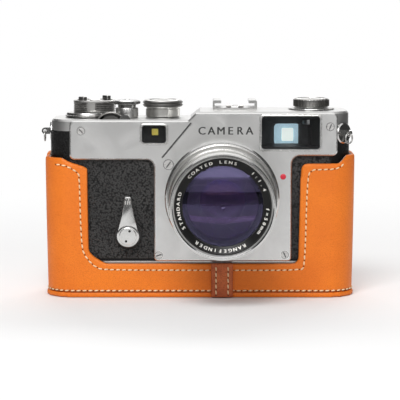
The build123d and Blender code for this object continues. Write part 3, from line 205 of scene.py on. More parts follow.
def ribs(obj: bpy.types.Object, low: float, high: float, depth: float, segments: int,
         keep: Callable[[float], bool] = everywhere, every: int = 2) -> None:
    """Raises every second strip of faces of a turned piece into straight milling.

    Args:
        obj: A turned piece, still about the origin.
        low: Lower end of the band, in millimetres.
        high: Upper end of the band.
        depth: Height of a rib.
        segments: Edges around the piece.
        keep: Says whether there is milling at an angle in degrees.
        every: Strips from one rib to the next.
    """
    def wanted(face: bpy.types.MeshPolygon) -> bool:
        """Whether a face becomes a rib."""
        angle = angle_of(face)
        index = int(angle / 360 * segments)
        return index % every == 0 and in_band(face, low, high) and keep(angle)

    if pick_faces(obj, wanted):
        bpy.ops.mesh.extrude_region_shrink_fatten(TRANSFORM_OT_shrink_fatten={"value": depth * MM})
        bpy.ops.transform.resize(value=(1, 1, 0.9), center_override=(0, 0, (low + high) / 2 * MM))
    bpy.ops.object.mode_set(mode="OBJECT")


def pyramids(obj: bpy.types.Object, low: float, high: float, depth: float,
             keep: Callable[[float], bool] = everywhere) -> None:
    """Raises each face of a band into a pyramid, as cross knurling.

    Args:
        obj: A turned piece, still about the origin.
        low: Lower end of the band, in millimetres.
        high: Upper end of the band.
        depth: Height of a pyramid.
        keep: Says whether there is knurling at an angle in degrees.
    """
    def wanted(face: bpy.types.MeshPolygon) -> bool:
        """Whether a face becomes a pyramid."""
        return in_band(face, low, high) and keep(angle_of(face))

    if pick_faces(obj, wanted):
        bpy.ops.mesh.poke(offset=depth * MM)
    bpy.ops.object.mode_set(mode="OBJECT")


def shade_band(obj: bpy.types.Object, low: float, high: float,
               keep: Callable[[float], bool] = everywhere) -> None:
    """Gives a milled band the second finish of its piece, a darker one that paints shade into the milling's
    grooves.

    Args:
        obj: A turned piece, still about the origin.
        low: Lower end of the band, in millimetres.
        high: Upper end of the band.
        keep: Says whether there is milling at an angle in degrees.
    """
    # Painted shade: the milled band takes the darker second material.
    for face in obj.data.polygons:
        if in_band(face, low, high, -0.5) and keep(angle_of(face)):
            face.material_index = 1


def band(radius: float, low: float, high: float, rows: int) -> list[Station]:
    """Stations of a straight wall that is divided into rows."""
    return [(radius, low + (high - low) * row / rows) for row in range(rows + 1)]


def smooth(obj: bpy.types.Object, angle: float = 32.0) -> None:
    """Shades a piece smooth up to an edge angle in degrees."""
    activate(obj)
    bpy.ops.object.shade_smooth_by_angle(angle=math.radians(angle))


def bevelled(obj: bpy.types.Object, width: float, segments: int = 2, angle: float = 40.0) -> None:
    """Rounds the sharp edges of a piece by a width in millimetres."""
    apply_modifier(obj, "BEVEL", width=width * MM, segments=segments, limit_method="ANGLE",
                   angle_limit=math.radians(angle), use_clamp_overlap=True)


def block(low: Sequence[float], high: Sequence[float]) -> bpy.types.Object:
    """A box between two corners in metres."""
    deselect()
    centre = [(a + b) / 2 for a, b in zip(low, high)]
    size = [b - a for a, b in zip(low, high)]
    bpy.ops.mesh.primitive_cube_add(size=1, location=centre)
    obj = bpy.context.active_object
    obj.scale = size
    bpy.ops.object.transform_apply(location=True, rotation=True, scale=True)
    return obj


def plate(points: Sequence[tuple[float, float]], thickness: float) -> bpy.types.Object:
    """A flat plate from an outline in the XY plane, by extruding edge to edge.

    Args:
        points: Corners in millimetres.
        thickness: Thickness towards +Z in millimetres.

    Returns:
        The new object, about the origin.
    """
    deselect()
    bpy.ops.mesh.primitive_circle_add(vertices=len(points), radius=1, fill_type="NGON")
    obj = bpy.context.active_object
    for vertex, (x, y) in zip(obj.data.vertices, points):
        vertex.co = (x * MM, y * MM, 0)
    bpy.ops.object.mode_set(mode="EDIT")
    bpy.ops.mesh.select_mode(type="FACE")
    bpy.ops.mesh.select_all(action="SELECT")
    bpy.ops.mesh.extrude_region_move(TRANSFORM_OT_translate={"value": (0, 0, thickness * MM)})
    bpy.ops.mesh.select_all(action="SELECT")
    bpy.ops.mesh.normals_make_consistent(inside=False)
    bpy.ops.object.mode_set(mode="OBJECT")
    return obj


def rounded_rectangle(width: float, height: float, radius: float,
                      steps: int = 5) -> list[tuple[float, float]]:
    """Corners of a rectangle with rounded corners, centred on the origin, in millimetres."""
    points = []
    for quarter, (sx, sy) in enumerate(((1, 1), (-1, 1), (-1, -1), (1, -1))):
        for step in range(steps + 1):
            angle = math.pi / 2 * (quarter + step / steps)
            points.append((sx * (width / 2 - radius) + radius * math.cos(angle),
                           sy * (height / 2 - radius) + radius * math.sin(angle)))
    return points


def letter(character: str, size: float, relief: float = 0.03) -> bpy.types.Object:
    """One engraved character as a thin mesh in the XY plane, centred on the origin."""
    deselect()
    bpy.ops.object.text_add(location=(0, 0, 0))
    obj = bpy.context.active_object
    obj.data.body = character
    obj.data.size = size * MM
    obj.data.align_x = "CENTER"
    obj.data.align_y = "CENTER"
    obj.data.extrude = relief * MM
    obj.data.resolution_u = 4
    bpy.ops.object.convert(target="MESH")
    return bpy.context.active_object


def ring_text(words: Sequence[str], size: float, spot: Callable[[int], Matrix],
              weight: float = 0.0) -> bpy.types.Object:
    """Sets characters or numbers one by one and joins them.

    Args:
        words: What is engraved at each place.
        size: Letter height in millimetres.
        spot: Matrix of each place, from its index.
        weight: How much bolder the strokes are, in millimetres.

    Returns:
        The joined object.
    """
    letters = []
    for index, word in enumerate(words):
        for shift in ((-weight, weight) if weight else (0.0,)):
            if word.strip():
                obj = letter(word, size)
                obj.data.transform(spot(index) @ Matrix.Translation((shift * MM, 0, 0.1 * shift * MM)))
                letters.append(obj)
    return join(letters)


def finish_piece(obj: bpy.types.Object, name: str, body: str, finish: Finish | Sequence[Finish],
                 replaced: Iterable[str] = ()) -> bpy.types.Object:
    """Names a piece, gives it its finish and lets it ride.

    Args:
        obj: The finished mesh object.
        name: Name of the piece.
        body: The body that carries it.
        finish: Its finish, or one for each of its material slots.
        replaced: Nodes that it stands for.

    Returns:
        The piece.
    """
    activate(obj)
    obj.name = name
    obj.data.name = name
    finishes = [finish] if isinstance(finish, Finish) else list(finish)
    while len(obj.data.materials) < len(finishes):
        obj.data.materials.append(None)
    for index, item in enumerate(finishes):
        obj.data.materials[index] = item.material()
    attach(obj, body)
    if replaced:
        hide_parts(*replaced)
    LOG.info("%s: %d faces on %s", name, len(obj.data.polygons), body)
    return obj


# ------------------------------------------------------------------ node tools
class Sheet:
    """Adds and joins the nodes of one node tree."""

    def __init__(self, tree: bpy.types.NodeTree) -> None:
        """Starts on an empty tree."""
        self.tree = tree
        tree.nodes.clear()

    def add(self, kind: str, settings: dict[str, object] | None = None, **inputs: object) -> bpy.types.Node:
        """Adds a node, sets its properties, and fills or links its inputs by name."""
        node = self.tree.nodes.new(kind)
        for name, value in (settings or {}).items():
            setattr(node, name, value)
        for name, value in inputs.items():
            self.feed(node.inputs[name.replace("_", " ")], value)
        return node

    def feed(self, socket: bpy.types.NodeSocket, value: object) -> None:
        """Links a socket into an input, or sets its value."""
        if isinstance(value, bpy.types.NodeSocket):
            self.tree.links.new(value, socket)
        else:
            socket.default_value = value

    def group(self, tree: bpy.types.NodeTree, **inputs: object) -> bpy.types.Node:
        """Places a shared group with its own values."""
        return self.add("ShaderNodeGroup", {"node_tree": tree}, **inputs)

    def object_place(self) -> bpy.types.NodeSocket:
        """Object coordinates."""
        return self.add("ShaderNodeTexCoord").outputs["Object"]

    def math(self, operation: str, first: object, second: object = 0.0,
             clamp: bool = False) -> bpy.types.NodeSocket:
        """One arithmetic step."""
        node = self.tree.nodes.new("ShaderNodeMath")
        node.operation = operation
        node.use_clamp = clamp
        self.feed(node.inputs[0], first)
        self.feed(node.inputs[1], second)
        return node.outputs[0]

    def mix(self, factor: object, first: Colour, second: Colour) -> bpy.types.NodeSocket:
        """A mix of two colours."""
        node = self.tree.nodes.new("ShaderNodeMix")
        node.data_type = "RGBA"
        self.feed(node.inputs["Factor"], factor)
        for socket, value in ((node.inputs[6], first), (node.inputs[7], second)):
            self.feed(socket, value if isinstance(value, bpy.types.NodeSocket) else (*value, 1.0))
        return node.outputs[2]

    def ramp(self, value: object, low: float, high: float) -> bpy.types.NodeSocket:
        """A value spread from 0 at low to 1 at high."""
        node = self.add("ShaderNodeMapRange", {"interpolation_type": "SMOOTHSTEP"}, Value=value,
                        From_Min=low, From_Max=high)
        return node.outputs[0]


class ShaderGroups:
    """The shared shader node groups, each built once."""

    def __init__(self) -> None:
        """Builds every group."""
        self.hide = self.make_hide()
        self.plating = self.make_plating()
        self.wear = self.make_wear()
        self.dust = self.make_dust()

    @staticmethod
    def new_group(name: str, inputs: dict[str, float], outputs: Sequence[str]) -> tuple[
            bpy.types.NodeTree, Sheet, bpy.types.Node, bpy.types.Node]:
        """A new group with named number inputs and outputs."""
        tree = bpy.data.node_groups.new(name, "ShaderNodeTree")
        for label, value in inputs.items():
            socket = tree.interface.new_socket(label, in_out="INPUT", socket_type="NodeSocketFloat")
            socket.default_value = value
        for label in outputs:
            tree.interface.new_socket(label, in_out="OUTPUT", socket_type="NodeSocketFloat")
        sheet = Sheet(tree)
        return tree, sheet, sheet.add("NodeGroupInput"), sheet.add("NodeGroupOutput")

    @classmethod
    def make_hide(cls) -> bpy.types.NodeTree:
        """Pebbled grain of leather: cells, fine wrinkles and slow mottling."""
        tree, sheet, given, out = cls.new_group(
            "HideGrain", {"Cells": 1200.0, "Wrinkle": 0.4, "Mottle Scale": 60.0},
            ("Height", "Crease", "Mottle"))
        place_ = sheet.object_place()
        warp = sheet.add("ShaderNodeTexNoise", Vector=place_, Scale=400.0, Detail=3.0)
        bent = sheet.add("ShaderNodeVectorMath", {"operation": "MULTIPLY_ADD"})
        sheet.feed(bent.inputs[0], warp.outputs["Color"])
        bent.inputs[1].default_value = (0.0006, 0.0006, 0.0006)
        sheet.feed(bent.inputs[2], place_)
        cells = sheet.add("ShaderNodeTexVoronoi", {"feature": "SMOOTH_F1"}, Vector=bent.outputs[0],
                          Scale=given.outputs["Cells"], Smoothness=0.35)
        fine = sheet.add("ShaderNodeTexNoise", Vector=place_, Scale=5200.0, Detail=5.0, Roughness=0.65)
        dome = sheet.math("SUBTRACT", 1.0, cells.outputs["Distance"], clamp=True)
        wrinkle = sheet.math("MULTIPLY", fine.outputs["Fac"], given.outputs["Wrinkle"])
        sheet.feed(out.inputs["Height"], sheet.math("ADD", dome, wrinkle))
        # Crease mask: the leathers paint shade into the grain's creases with it, and roughen them.
        sheet.feed(out.inputs["Crease"], sheet.ramp(cells.outputs["Distance"], 0.35, 0.8))
        slow = sheet.add("ShaderNodeTexNoise", Vector=place_, Scale=given.outputs["Mottle Scale"],
                         Detail=6.0, Roughness=0.6)
        sheet.feed(out.inputs["Mottle"], sheet.ramp(slow.outputs["Fac"], 0.3, 0.72))
        return tree

    @classmethod
    def make_plating(cls) -> bpy.types.NodeTree:
        """Blasted and plated metal: fine tooth, hairlines and handling marks."""
        tree, sheet, given, out = cls.new_group(
            "Plating", {"Tooth": 6000.0, "Hairlines": 0.3}, ("Height", "Smudge"))
        place_ = sheet.object_place()
        tooth = sheet.add("ShaderNodeTexNoise", Vector=place_, Scale=given.outputs["Tooth"],
                          Detail=2.0)
        stretched = sheet.add("ShaderNodeMapping", Vector=place_, Scale=(260.0, 4200.0, 5200.0),
                              Rotation=(0.3, 0.5, 0.35))
        lines = sheet.add("ShaderNodeTexNoise", Vector=stretched.outputs[0], Scale=1.0, Detail=3.0)
        marks = sheet.math("MULTIPLY", sheet.ramp(lines.outputs["Fac"], 0.62, 0.72),
                           given.outputs["Hairlines"])
        sheet.feed(out.inputs["Height"], sheet.math("SUBTRACT", tooth.outputs["Fac"], marks))
        slow = sheet.add("ShaderNodeTexNoise", Vector=place_, Scale=85.0, Detail=5.0, Roughness=0.6,
                         Distortion=0.6)
        sheet.feed(out.inputs["Smudge"], sheet.ramp(slow.outputs["Fac"], 0.35, 0.75))
        return tree

    @classmethod
    def make_wear(cls) -> bpy.types.NodeTree:
        """Worn edges: where a rounded normal leaves the true one."""
        tree, sheet, given, out = cls.new_group("EdgeWear", {"Radius": 0.0005, "Amount": 1.0}, ("Mask",))
        round_ = sheet.add("ShaderNodeBevel", {"samples": 4}, Radius=given.outputs["Radius"])
        flat = sheet.add("ShaderNodeNewGeometry")
        dot = sheet.add("ShaderNodeVectorMath", {"operation": "DOT_PRODUCT"})
        sheet.feed(dot.inputs[0], round_.outputs[0])
        sheet.feed(dot.inputs[1], flat.outputs["Normal"])
        edge = sheet.math("MULTIPLY", sheet.math("SUBTRACT", 1.0, dot.outputs["Value"]), 7.0, clamp=True)
        place_ = sheet.object_place()
        break_up = sheet.add("ShaderNodeTexNoise", Vector=place_, Scale=700.0, Detail=4.0)
        worn = sheet.math("MULTIPLY", edge, sheet.ramp(break_up.outputs["Fac"], 0.25, 0.52))
        sheet.feed(out.inputs["Mask"], sheet.math("MULTIPLY", worn, given.outputs["Amount"], clamp=True))
        return tree

    @classmethod
    def make_dust(cls) -> bpy.types.NodeTree:
        """Dust that settles on what faces up, with specks."""
        tree, sheet, given, out = cls.new_group("Dust", {"Amount": 0.2}, ("Mask",))
        up = sheet.add("ShaderNodeSeparateXYZ", Vector=sheet.add("ShaderNodeNewGeometry").outputs["Normal"])
        place_ = sheet.object_place()
        specks = sheet.add("ShaderNodeTexNoise", Vector=place_, Scale=2600.0, Detail=3.0)
        lying = sheet.ramp(up.outputs["Z"], 0.3, 1.0)
        sheet.feed(out.inputs["Mask"], sheet.math(
            "MULTIPLY", sheet.math("MULTIPLY", lying, sheet.ramp(specks.outputs["Fac"], 0.5, 0.75)),
            given.outputs["Amount"]))
        return tree


GROUPS: dict[str, ShaderGroups] = {}


def groups() -> ShaderGroups:
    """The shared groups, built at first use."""
    if "shared" not in GROUPS:
        GROUPS["shared"] = ShaderGroups()
    return GROUPS["shared"]


# ------------------------------------------------------------------ finishes
GLASS_TOOTH = 900.0
SMEARED = 0.85
HANDLED = 0.9
METAL_DUST: Colour = (0.55, 0.52, 0.48)
HIDE_DUST: Colour = (0.5, 0.45, 0.4)


def dimmed(colour: Colour, share: float) -> Colour:
    """A share of a colour's brightness."""
    return tuple(value * share for value in colour)


@dataclass(frozen=True)
class Finish:
    """A finish of the object; each kind paints its own material."""

    name: str
    colour: Colour

    @property
    def label(self) -> str:
        """Name of the material, apart from the names of the frame's own."""
        return f"{self.name}_finish"

    def material(self) -> bpy.types.Material:
        """The finish's material, made once."""
        found = bpy.data.materials.get(self.label)
        if found is None:
            found = bpy.data.materials.new(self.label)
            found.use_nodes = True
            sheet = Sheet(found.node_tree)
            surface = self.surface(sheet)
            output = sheet.add("ShaderNodeOutputMaterial")
            sheet.feed(output.inputs["Surface"], surface)
        return found

    def surface(self, sheet: Sheet) -> bpy.types.NodeSocket:
        """The painted shader that the material shows."""
        shader = sheet.add("ShaderNodeBsdfPrincipled")
        self.paint(sheet, shader)
        return shader.outputs["BSDF"]

    def paint(self, sheet: Sheet, shader: bpy.types.Node) -> None:
        """Fills the shader; plain colour unless a kind of finish says more."""
        sheet.feed(shader.inputs["Base Color"], (*self.colour, 1.0))

    def smears(self, sheet: Sheet) -> bpy.types.NodeSocket:
        """Where faint smears lie on something smooth."""
        return sheet.group(groups().plating, Tooth=GLASS_TOOTH, Hairlines=0.0).outputs["Smudge"]

    def bump(self, sheet: Sheet, shader: bpy.types.Node, height: bpy.types.NodeSocket,
             strength: float, distance: float) -> None:
        """Raises the surface by a height, distance in millimetres."""
        bump = sheet.add("ShaderNodeBump", Strength=strength, Distance=distance * MM, Height=height)
        sheet.feed(shader.inputs["Normal"], bump.outputs["Normal"])


@dataclass(frozen=True)
class Metal(Finish):
    """Plated, ground or turned metal."""

    roughness: float = 0.25
    tooth: float = 0.25
    tooth_scale: float = 6000.0
    hairlines: float = 0.3
    worn: Colour = (0.95, 0.94, 0.92)
    wear: float = 0.8
    wear_radius: float = 0.5
    dust: float = 0.12

    def paint(self, sheet: Sheet, shader: bpy.types.Node) -> None:
        """Colour and roughness vary with handling; edges are polished by wear, and on the front plate the
        bright edge is also a painted highlight.
        """
        plating = sheet.group(groups().plating, Tooth=self.tooth_scale,
                            Hairlines=self.hairlines)
        wear = sheet.group(groups().wear, Radius=self.wear_radius * MM,
                         Amount=self.wear)
        dust = sheet.group(groups().dust, Amount=self.dust)
        base = sheet.mix(plating.outputs["Smudge"], self.colour, dimmed(self.colour, HANDLED))
        # Brighter edges: wear, and on the front plate a painted highlight along the edges.
        base = sheet.mix(wear.outputs["Mask"], base, self.worn)
        base = sheet.mix(dust.outputs["Mask"], base, METAL_DUST)
        sheet.feed(shader.inputs["Base Color"], base)
        sheet.feed(shader.inputs["Metallic"], sheet.math("SUBTRACT", 1.0, dust.outputs["Mask"]))
        rough = sheet.math("ADD", sheet.math("MULTIPLY", plating.outputs["Smudge"], 0.08), self.roughness)
        rough = sheet.math("SUBTRACT", rough, sheet.math("MULTIPLY", wear.outputs["Mask"],
                                                         self.roughness * 0.6))
        sheet.feed(shader.inputs["Roughness"], sheet.math("ADD", rough, dust.outputs["Mask"]))
        self.bump(sheet, shader, plating.outputs["Height"], self.tooth, 0.01)


@dataclass(frozen=True)
class Hide(Finish):
    """Leather or a pebbled covering."""

    shade: Colour = (0.3, 0.06, 0.01)
    crease_shade: Colour = (0.2, 0.04, 0.01)
    cells: float = 1100.0
    relief: float = 0.05
    strength: float = 0.6
    roughness: float = 0.45
    wrinkle: float = 0.5
    worn: Colour = (0.3, 0.1, 0.03)
    wear: float = 0.6
    sheen: float = 0.0
    specular: float = 0.5
    mottle_scale: float = 60.0
    crease_shade_share: float = 0.6
    painted_shade_beyond: float = 0.0

    def paint(self, sheet: Sheet, shader: bpy.types.Node) -> None:
        """Mottled colour, painted shade in the creases and, where set, on the ends, rubbed edges and a
        grained surface.
        """
        grain = sheet.group(groups().hide, Cells=self.cells,
                          Wrinkle=self.wrinkle, Mottle_Scale=self.mottle_scale)
        wear = sheet.group(groups().wear, Radius=0.0009, Amount=self.wear)
        dust = sheet.group(groups().dust, Amount=0.1)
        base = sheet.mix(grain.outputs["Mottle"], self.colour, self.shade)
        # Painted shade: the grain's creases are darkened towards the crease colour.
        crease_shade = sheet.math("MULTIPLY", grain.outputs["Crease"], self.crease_shade_share)
        base = sheet.mix(crease_shade, base, self.crease_shade)
        base = sheet.mix(wear.outputs["Mask"], base, self.worn)
        base = sheet.mix(dust.outputs["Mask"], base, HIDE_DUST)
        # Painted shade: past a set distance from the middle, the ends are darkened towards the crease colour.
        if self.painted_shade_beyond:
            place_ = sheet.add("ShaderNodeSeparateXYZ", Vector=sheet.object_place())
            away = sheet.math("ABSOLUTE", place_.outputs["X"])
            shaded_ends = sheet.ramp(away, self.painted_shade_beyond * MM, (self.painted_shade_beyond + 2.0) * MM)
            base = sheet.mix(shaded_ends, base, self.crease_shade)
        sheet.feed(shader.inputs["Base Color"], base)
        rough = sheet.math("ADD", sheet.math("MULTIPLY", grain.outputs["Mottle"], 0.12), self.roughness)
        sheet.feed(shader.inputs["Roughness"], sheet.math(
            "ADD", rough, sheet.math("MULTIPLY", grain.outputs["Crease"], 0.15)))
        shader.inputs["Sheen Weight"].default_value = self.sheen
        shader.inputs["Specular IOR Level"].default_value = self.specular
        self.bump(sheet, shader, grain.outputs["Height"], self.strength, self.relief)


@dataclass(frozen=True)
class Enamel(Finish):
    """Paint, anodising, ink or moulded plastic."""

    roughness: float = 0.4
    texture: float = 0.15
    worn: Colour = (0.35, 0.33, 0.3)
    wear: float = 0.3
    specular: float = 0.5

    def paint(self, sheet: Sheet, shader: bpy.types.Node) -> None:
        """Even colour with a fine orange-peel surface and rubbed edges."""
        plating = sheet.group(groups().plating, Tooth=2500.0,
                            Hairlines=0.4)
        wear = sheet.group(groups().wear, Radius=0.0003, Amount=self.wear)
        light = tuple(min(c * 1.35 + 0.004, 1.0) for c in self.colour)
        base = sheet.mix(plating.outputs["Smudge"], self.colour, light)
        base = sheet.mix(wear.outputs["Mask"], base, self.worn)
        sheet.feed(shader.inputs["Base Color"], base)
        sheet.feed(shader.inputs["Roughness"], sheet.math(
            "ADD", sheet.math("MULTIPLY", plating.outputs["Smudge"], 0.12), self.roughness))
        shader.inputs["Specular IOR Level"].default_value = self.specular
        self.bump(sheet, shader, plating.outputs["Height"], self.texture, 0.01)


@dataclass(frozen=True)
class Glass(Finish):
    """Clear or coated glass."""

    ior: float = 1.5
    roughness: float = 0.0
    tint: Colour = (1.0, 1.0, 1.0)
    specular: float = 0.3

    def paint(self, sheet: Sheet, shader: bpy.types.Node) -> None:
        """Transmitting body; faint smears roughen it here and there."""
        shader.inputs["Base Color"].default_value = (*self.colour, 1.0)
        shader.inputs["Transmission Weight"].default_value = 1.0
        shader.inputs["IOR"].default_value = self.ior
        shader.inputs["Specular Tint"].default_value = (*self.tint, 1.0)
        shader.inputs["Specular IOR Level"].default_value = self.specular
        sheet.feed(shader.inputs["Roughness"], sheet.math(
            "ADD", sheet.math("MULTIPLY", self.smears(sheet), 0.015), self.roughness))


@dataclass(frozen=True)
class Coating(Finish):
    """A coated inner face of the lens, seen as a faint coloured mirror."""

    weight: float = 0.2

    def material(self) -> bpy.types.Material:
        """A tinted mirror that mostly lets light through."""
        found = super().material()
        found.surface_render_method = "BLENDED"
        return found

    def paint(self, sheet: Sheet, shader: bpy.types.Node) -> None:
        """Mirror colour, mostly see-through."""
        sheet.feed(shader.inputs["Base Color"],
                   sheet.mix(self.smears(sheet), self.colour, dimmed(self.colour, SMEARED)))
        shader.inputs["Metallic"].default_value = 1.0
        shader.inputs["Roughness"].default_value = 0.03
        shader.inputs["Alpha"].default_value = self.weight


@dataclass(frozen=True)
class FloorPaper(Finish):
    """Pale paper: lit near the object, so that it keeps the shadow, and plain white further off."""

    near: float = 0.16
    far: float = 0.42

    def surface(self, sheet: Sheet) -> bpy.types.NodeSocket:
        """Paper that turns into plain white away from the object."""
        flat = sheet.add("ShaderNodeVectorMath", {"operation": "LENGTH"})
        sheet.feed(flat.inputs[0], sheet.object_place())
        path = sheet.add("ShaderNodeLightPath")
        seen = sheet.math("ADD", path.outputs["Is Camera Ray"], path.outputs["Is Glossy Ray"], clamp=True)
        share = sheet.math("MULTIPLY", sheet.ramp(flat.outputs["Value"], self.near, self.far), seen)
        paper = sheet.add("ShaderNodeBsdfDiffuse", Color=(*self.colour, 1.0))
        glow = sheet.add("ShaderNodeEmission", Color=(1.0, 1.0, 1.0, 1.0), Strength=1.0)
        mixed = sheet.add("ShaderNodeMixShader")
        sheet.feed(mixed.inputs[0], share)
        sheet.feed(mixed.inputs[1], paper.outputs[0])
        sheet.feed(mixed.inputs[2], glow.outputs[0])
        return mixed.outputs[0]


@dataclass(frozen=True)
class FinderGlow(Finish):
    """The finder's beam plate, glowing as painted light as bright as the view through it."""

    strength: float = 0.55
    cover: float = 0.7

    def paint(self, sheet: Sheet, shader: bpy.types.Node) -> None:
        """A thin bluish plate that glows: painted light standing for the view behind it."""
        tone = sheet.mix(self.smears(sheet), self.colour, dimmed(self.colour, SMEARED))
        sheet.feed(shader.inputs["Base Color"], tone)
        # Painted light: the plate emits light though it is no lamp.
        sheet.feed(shader.inputs["Emission Color"], tone)
        shader.inputs["Emission Strength"].default_value = self.strength
        shader.inputs["Roughness"].default_value = 0.1
        shader.inputs["Alpha"].default_value = self.cover


SATIN_CHROME = Metal("satin_chrome", (0.53, 0.527, 0.518), roughness=0.3, tooth=0.3)
# Front plate: its bright worn colour over wide edges paints a highlight line along the plate's edges, besides
# wear.
PLATE_CHROME_EDGE_LIT = Metal("plate_chrome_edge_lit", (0.72, 0.717, 0.708), roughness=0.30, tooth=0.35,
                     worn=(0.98, 0.97, 0.95), wear_radius=0.8, wear=1.0)
SCREW_METAL = Metal("nickel_screws", (0.62, 0.61, 0.60), roughness=0.42, tooth=0.2)
POLISHED_CHROME = Metal("polished_chrome", (0.62, 0.617, 0.606), roughness=0.12, tooth=0.06, wear=0.2)
KNURLED_CHROME = Metal("knurled_chrome", (0.52, 0.513, 0.495), roughness=0.3, tooth=0.15)
LEVER_CHROME = Metal("lever_chrome", (0.56, 0.553, 0.54), roughness=0.26, tooth=0.12)
STEEL = Metal("ground_steel", (0.34, 0.333, 0.325), roughness=0.3, tooth=0.2, hairlines=0.8)
# Darker finishes for milled bands: painted shade in the knurl grooves.
MILLED_STEEL_SHADED = Metal("milled_steel_shaded", (0.20, 0.197, 0.19), roughness=0.32, tooth=0.2, worn=(0.62, 0.61, 0.59),
                     wear_radius=0.12)
MILLED_CHROME_SHADED = Metal("milled_chrome_shaded", (0.30, 0.296, 0.288), roughness=0.3, tooth=0.2, worn=(0.8, 0.79, 0.77),
                      wear_radius=0.12)
TAB_STEEL = Metal("tab_steel", (0.22, 0.216, 0.21), roughness=0.35, tooth=0.3)
DARK_STEEL = Metal("blued_steel", (0.12, 0.117, 0.113), roughness=0.3, tooth=0.2, worn=(0.6, 0.58, 0.55))
BRASS = Metal("turned_brass", (0.62, 0.44, 0.18), roughness=0.25, worn=(0.9, 0.72, 0.4))
ALUMINIUM = Metal("bare_aluminium", (0.55, 0.55, 0.55), roughness=0.35)
BLACK_ENAMEL = Enamel("black_enamel", (0.012, 0.012, 0.013), roughness=0.32)
CASTING_BLACK = Enamel("casting_black", (0.008, 0.008, 0.009), roughness=0.5, texture=0.6, specular=0.12)
NAME_RING_BLACK = Enamel("name_ring_black", (0.006, 0.006, 0.006), roughness=0.3, specular=0.2)
# Dark brown of the painted shade in the stitch holes.
STITCH_HOLE_SHADE = Enamel("stitch_hole_shade", (0.05, 0.018, 0.006), roughness=0.9, wear=0.0)
FLAT_BLACK = Enamel("flat_black", (0.004, 0.004, 0.004), roughness=0.9, wear=0.0)
INK_BLACK = Enamel("engraving_black", (0.015, 0.015, 0.015), roughness=0.5, wear=0.0)
# Dark colour of the painted shade in screw slots and round their seats.
SLOT_SHADE = Enamel("slot_shade", (0.06, 0.06, 0.06), roughness=0.5, wear=0.0)
INK_WHITE = Enamel("engraving_white", (0.72, 0.7, 0.66), roughness=0.5, wear=0.0)
INK_RED = Enamel("engraving_red", (0.48, 0.012, 0.03), roughness=0.35, wear=0.0)
BLACK_PLASTIC = Enamel("black_plastic", (0.02, 0.02, 0.02), roughness=0.45, texture=0.3)
# The crease colours of these leathers, cloth and thread paint shade into the grain's creases.
COVERING = Hide("black_covering", (0.030, 0.029, 0.029), shade=(0.052, 0.051, 0.050),
                crease_shade=(0.002, 0.002, 0.002), cells=1250.0, relief=0.25, strength=1.0, roughness=0.3,
                wrinkle=0.8, worn=(0.05, 0.045, 0.04), wear=0.5, specular=0.2, crease_shade_share=0.95,
                # The covering's ends beyond 58 mm from the middle are painted darker as shade.
                painted_shade_beyond=58.0)
CASE_LEATHER = Hide("case_leather", (0.80, 0.200, 0.010), shade=(0.70, 0.156, 0.008),
                    crease_shade=(0.54, 0.112, 0.006), cells=2600.0, relief=0.03, strength=0.5,
                    roughness=0.40, worn=(0.42, 0.095, 0.012), wear=0.7, specular=0.35,
                    mottle_scale=30.0, crease_shade_share=0.5)
STRAP_LEATHER = Hide("strap_leather", (0.58, 0.135, 0.030), shade=(0.39, 0.078, 0.018),
                     crease_shade=(0.20, 0.036, 0.008), cells=2400.0, relief=0.03, strength=0.5,
                     roughness=0.38, worn=(0.18, 0.045, 0.012), wear=0.8, specular=0.4,
                     mottle_scale=130.0, crease_shade_share=0.5)
SUEDE = Hide("suede_lining", (0.42, 0.20, 0.09), shade=(0.33, 0.15, 0.07), crease_shade=(0.22, 0.1, 0.05),
             cells=2600.0, relief=0.04, strength=0.7, roughness=0.9, wear=0.2, sheen=0.5)
THREAD = Hide("waxed_thread", (0.86, 0.68, 0.45), shade=(0.76, 0.55, 0.32), crease_shade=(0.5, 0.3, 0.14),
              cells=4200.0, relief=0.05, strength=0.8, roughness=0.6, worn=(0.8, 0.6, 0.35), wear=0.2)
CURTAIN = Hide("curtain_cloth", (0.012, 0.012, 0.012), shade=(0.02, 0.02, 0.02),
               crease_shade=(0.005, 0.005, 0.005), cells=3000.0, relief=0.03, roughness=0.85, wear=0.0)
CLEAR_GLASS = Glass("clear_glass", (0.97, 0.98, 1.0))
FRONT_GLASS = Glass("front_glass", (0.9, 0.92, 1.0), ior=1.6, tint=(0.55, 0.50, 0.92), specular=0.08)
COATED_GLASS = Glass("coated_glass", (0.92, 0.92, 1.0), tint=(0.8, 0.4, 1.0), specular=0.05)
AMBER = Enamel("amber_filter", (0.85, 0.66, 0.10), roughness=0.3, wear=0.0)
# The finder's beam plate and inner frame glow: painted light.
BEAM_PLATE_GLOW = FinderGlow("beam_plate_glow", (0.40, 0.56, 0.62), strength=0.85, cover=0.85)
INNER_FRAME_GLOW = FinderGlow("inner_frame_glow", (0.80, 0.86, 0.80), strength=0.95, cover=0.95)


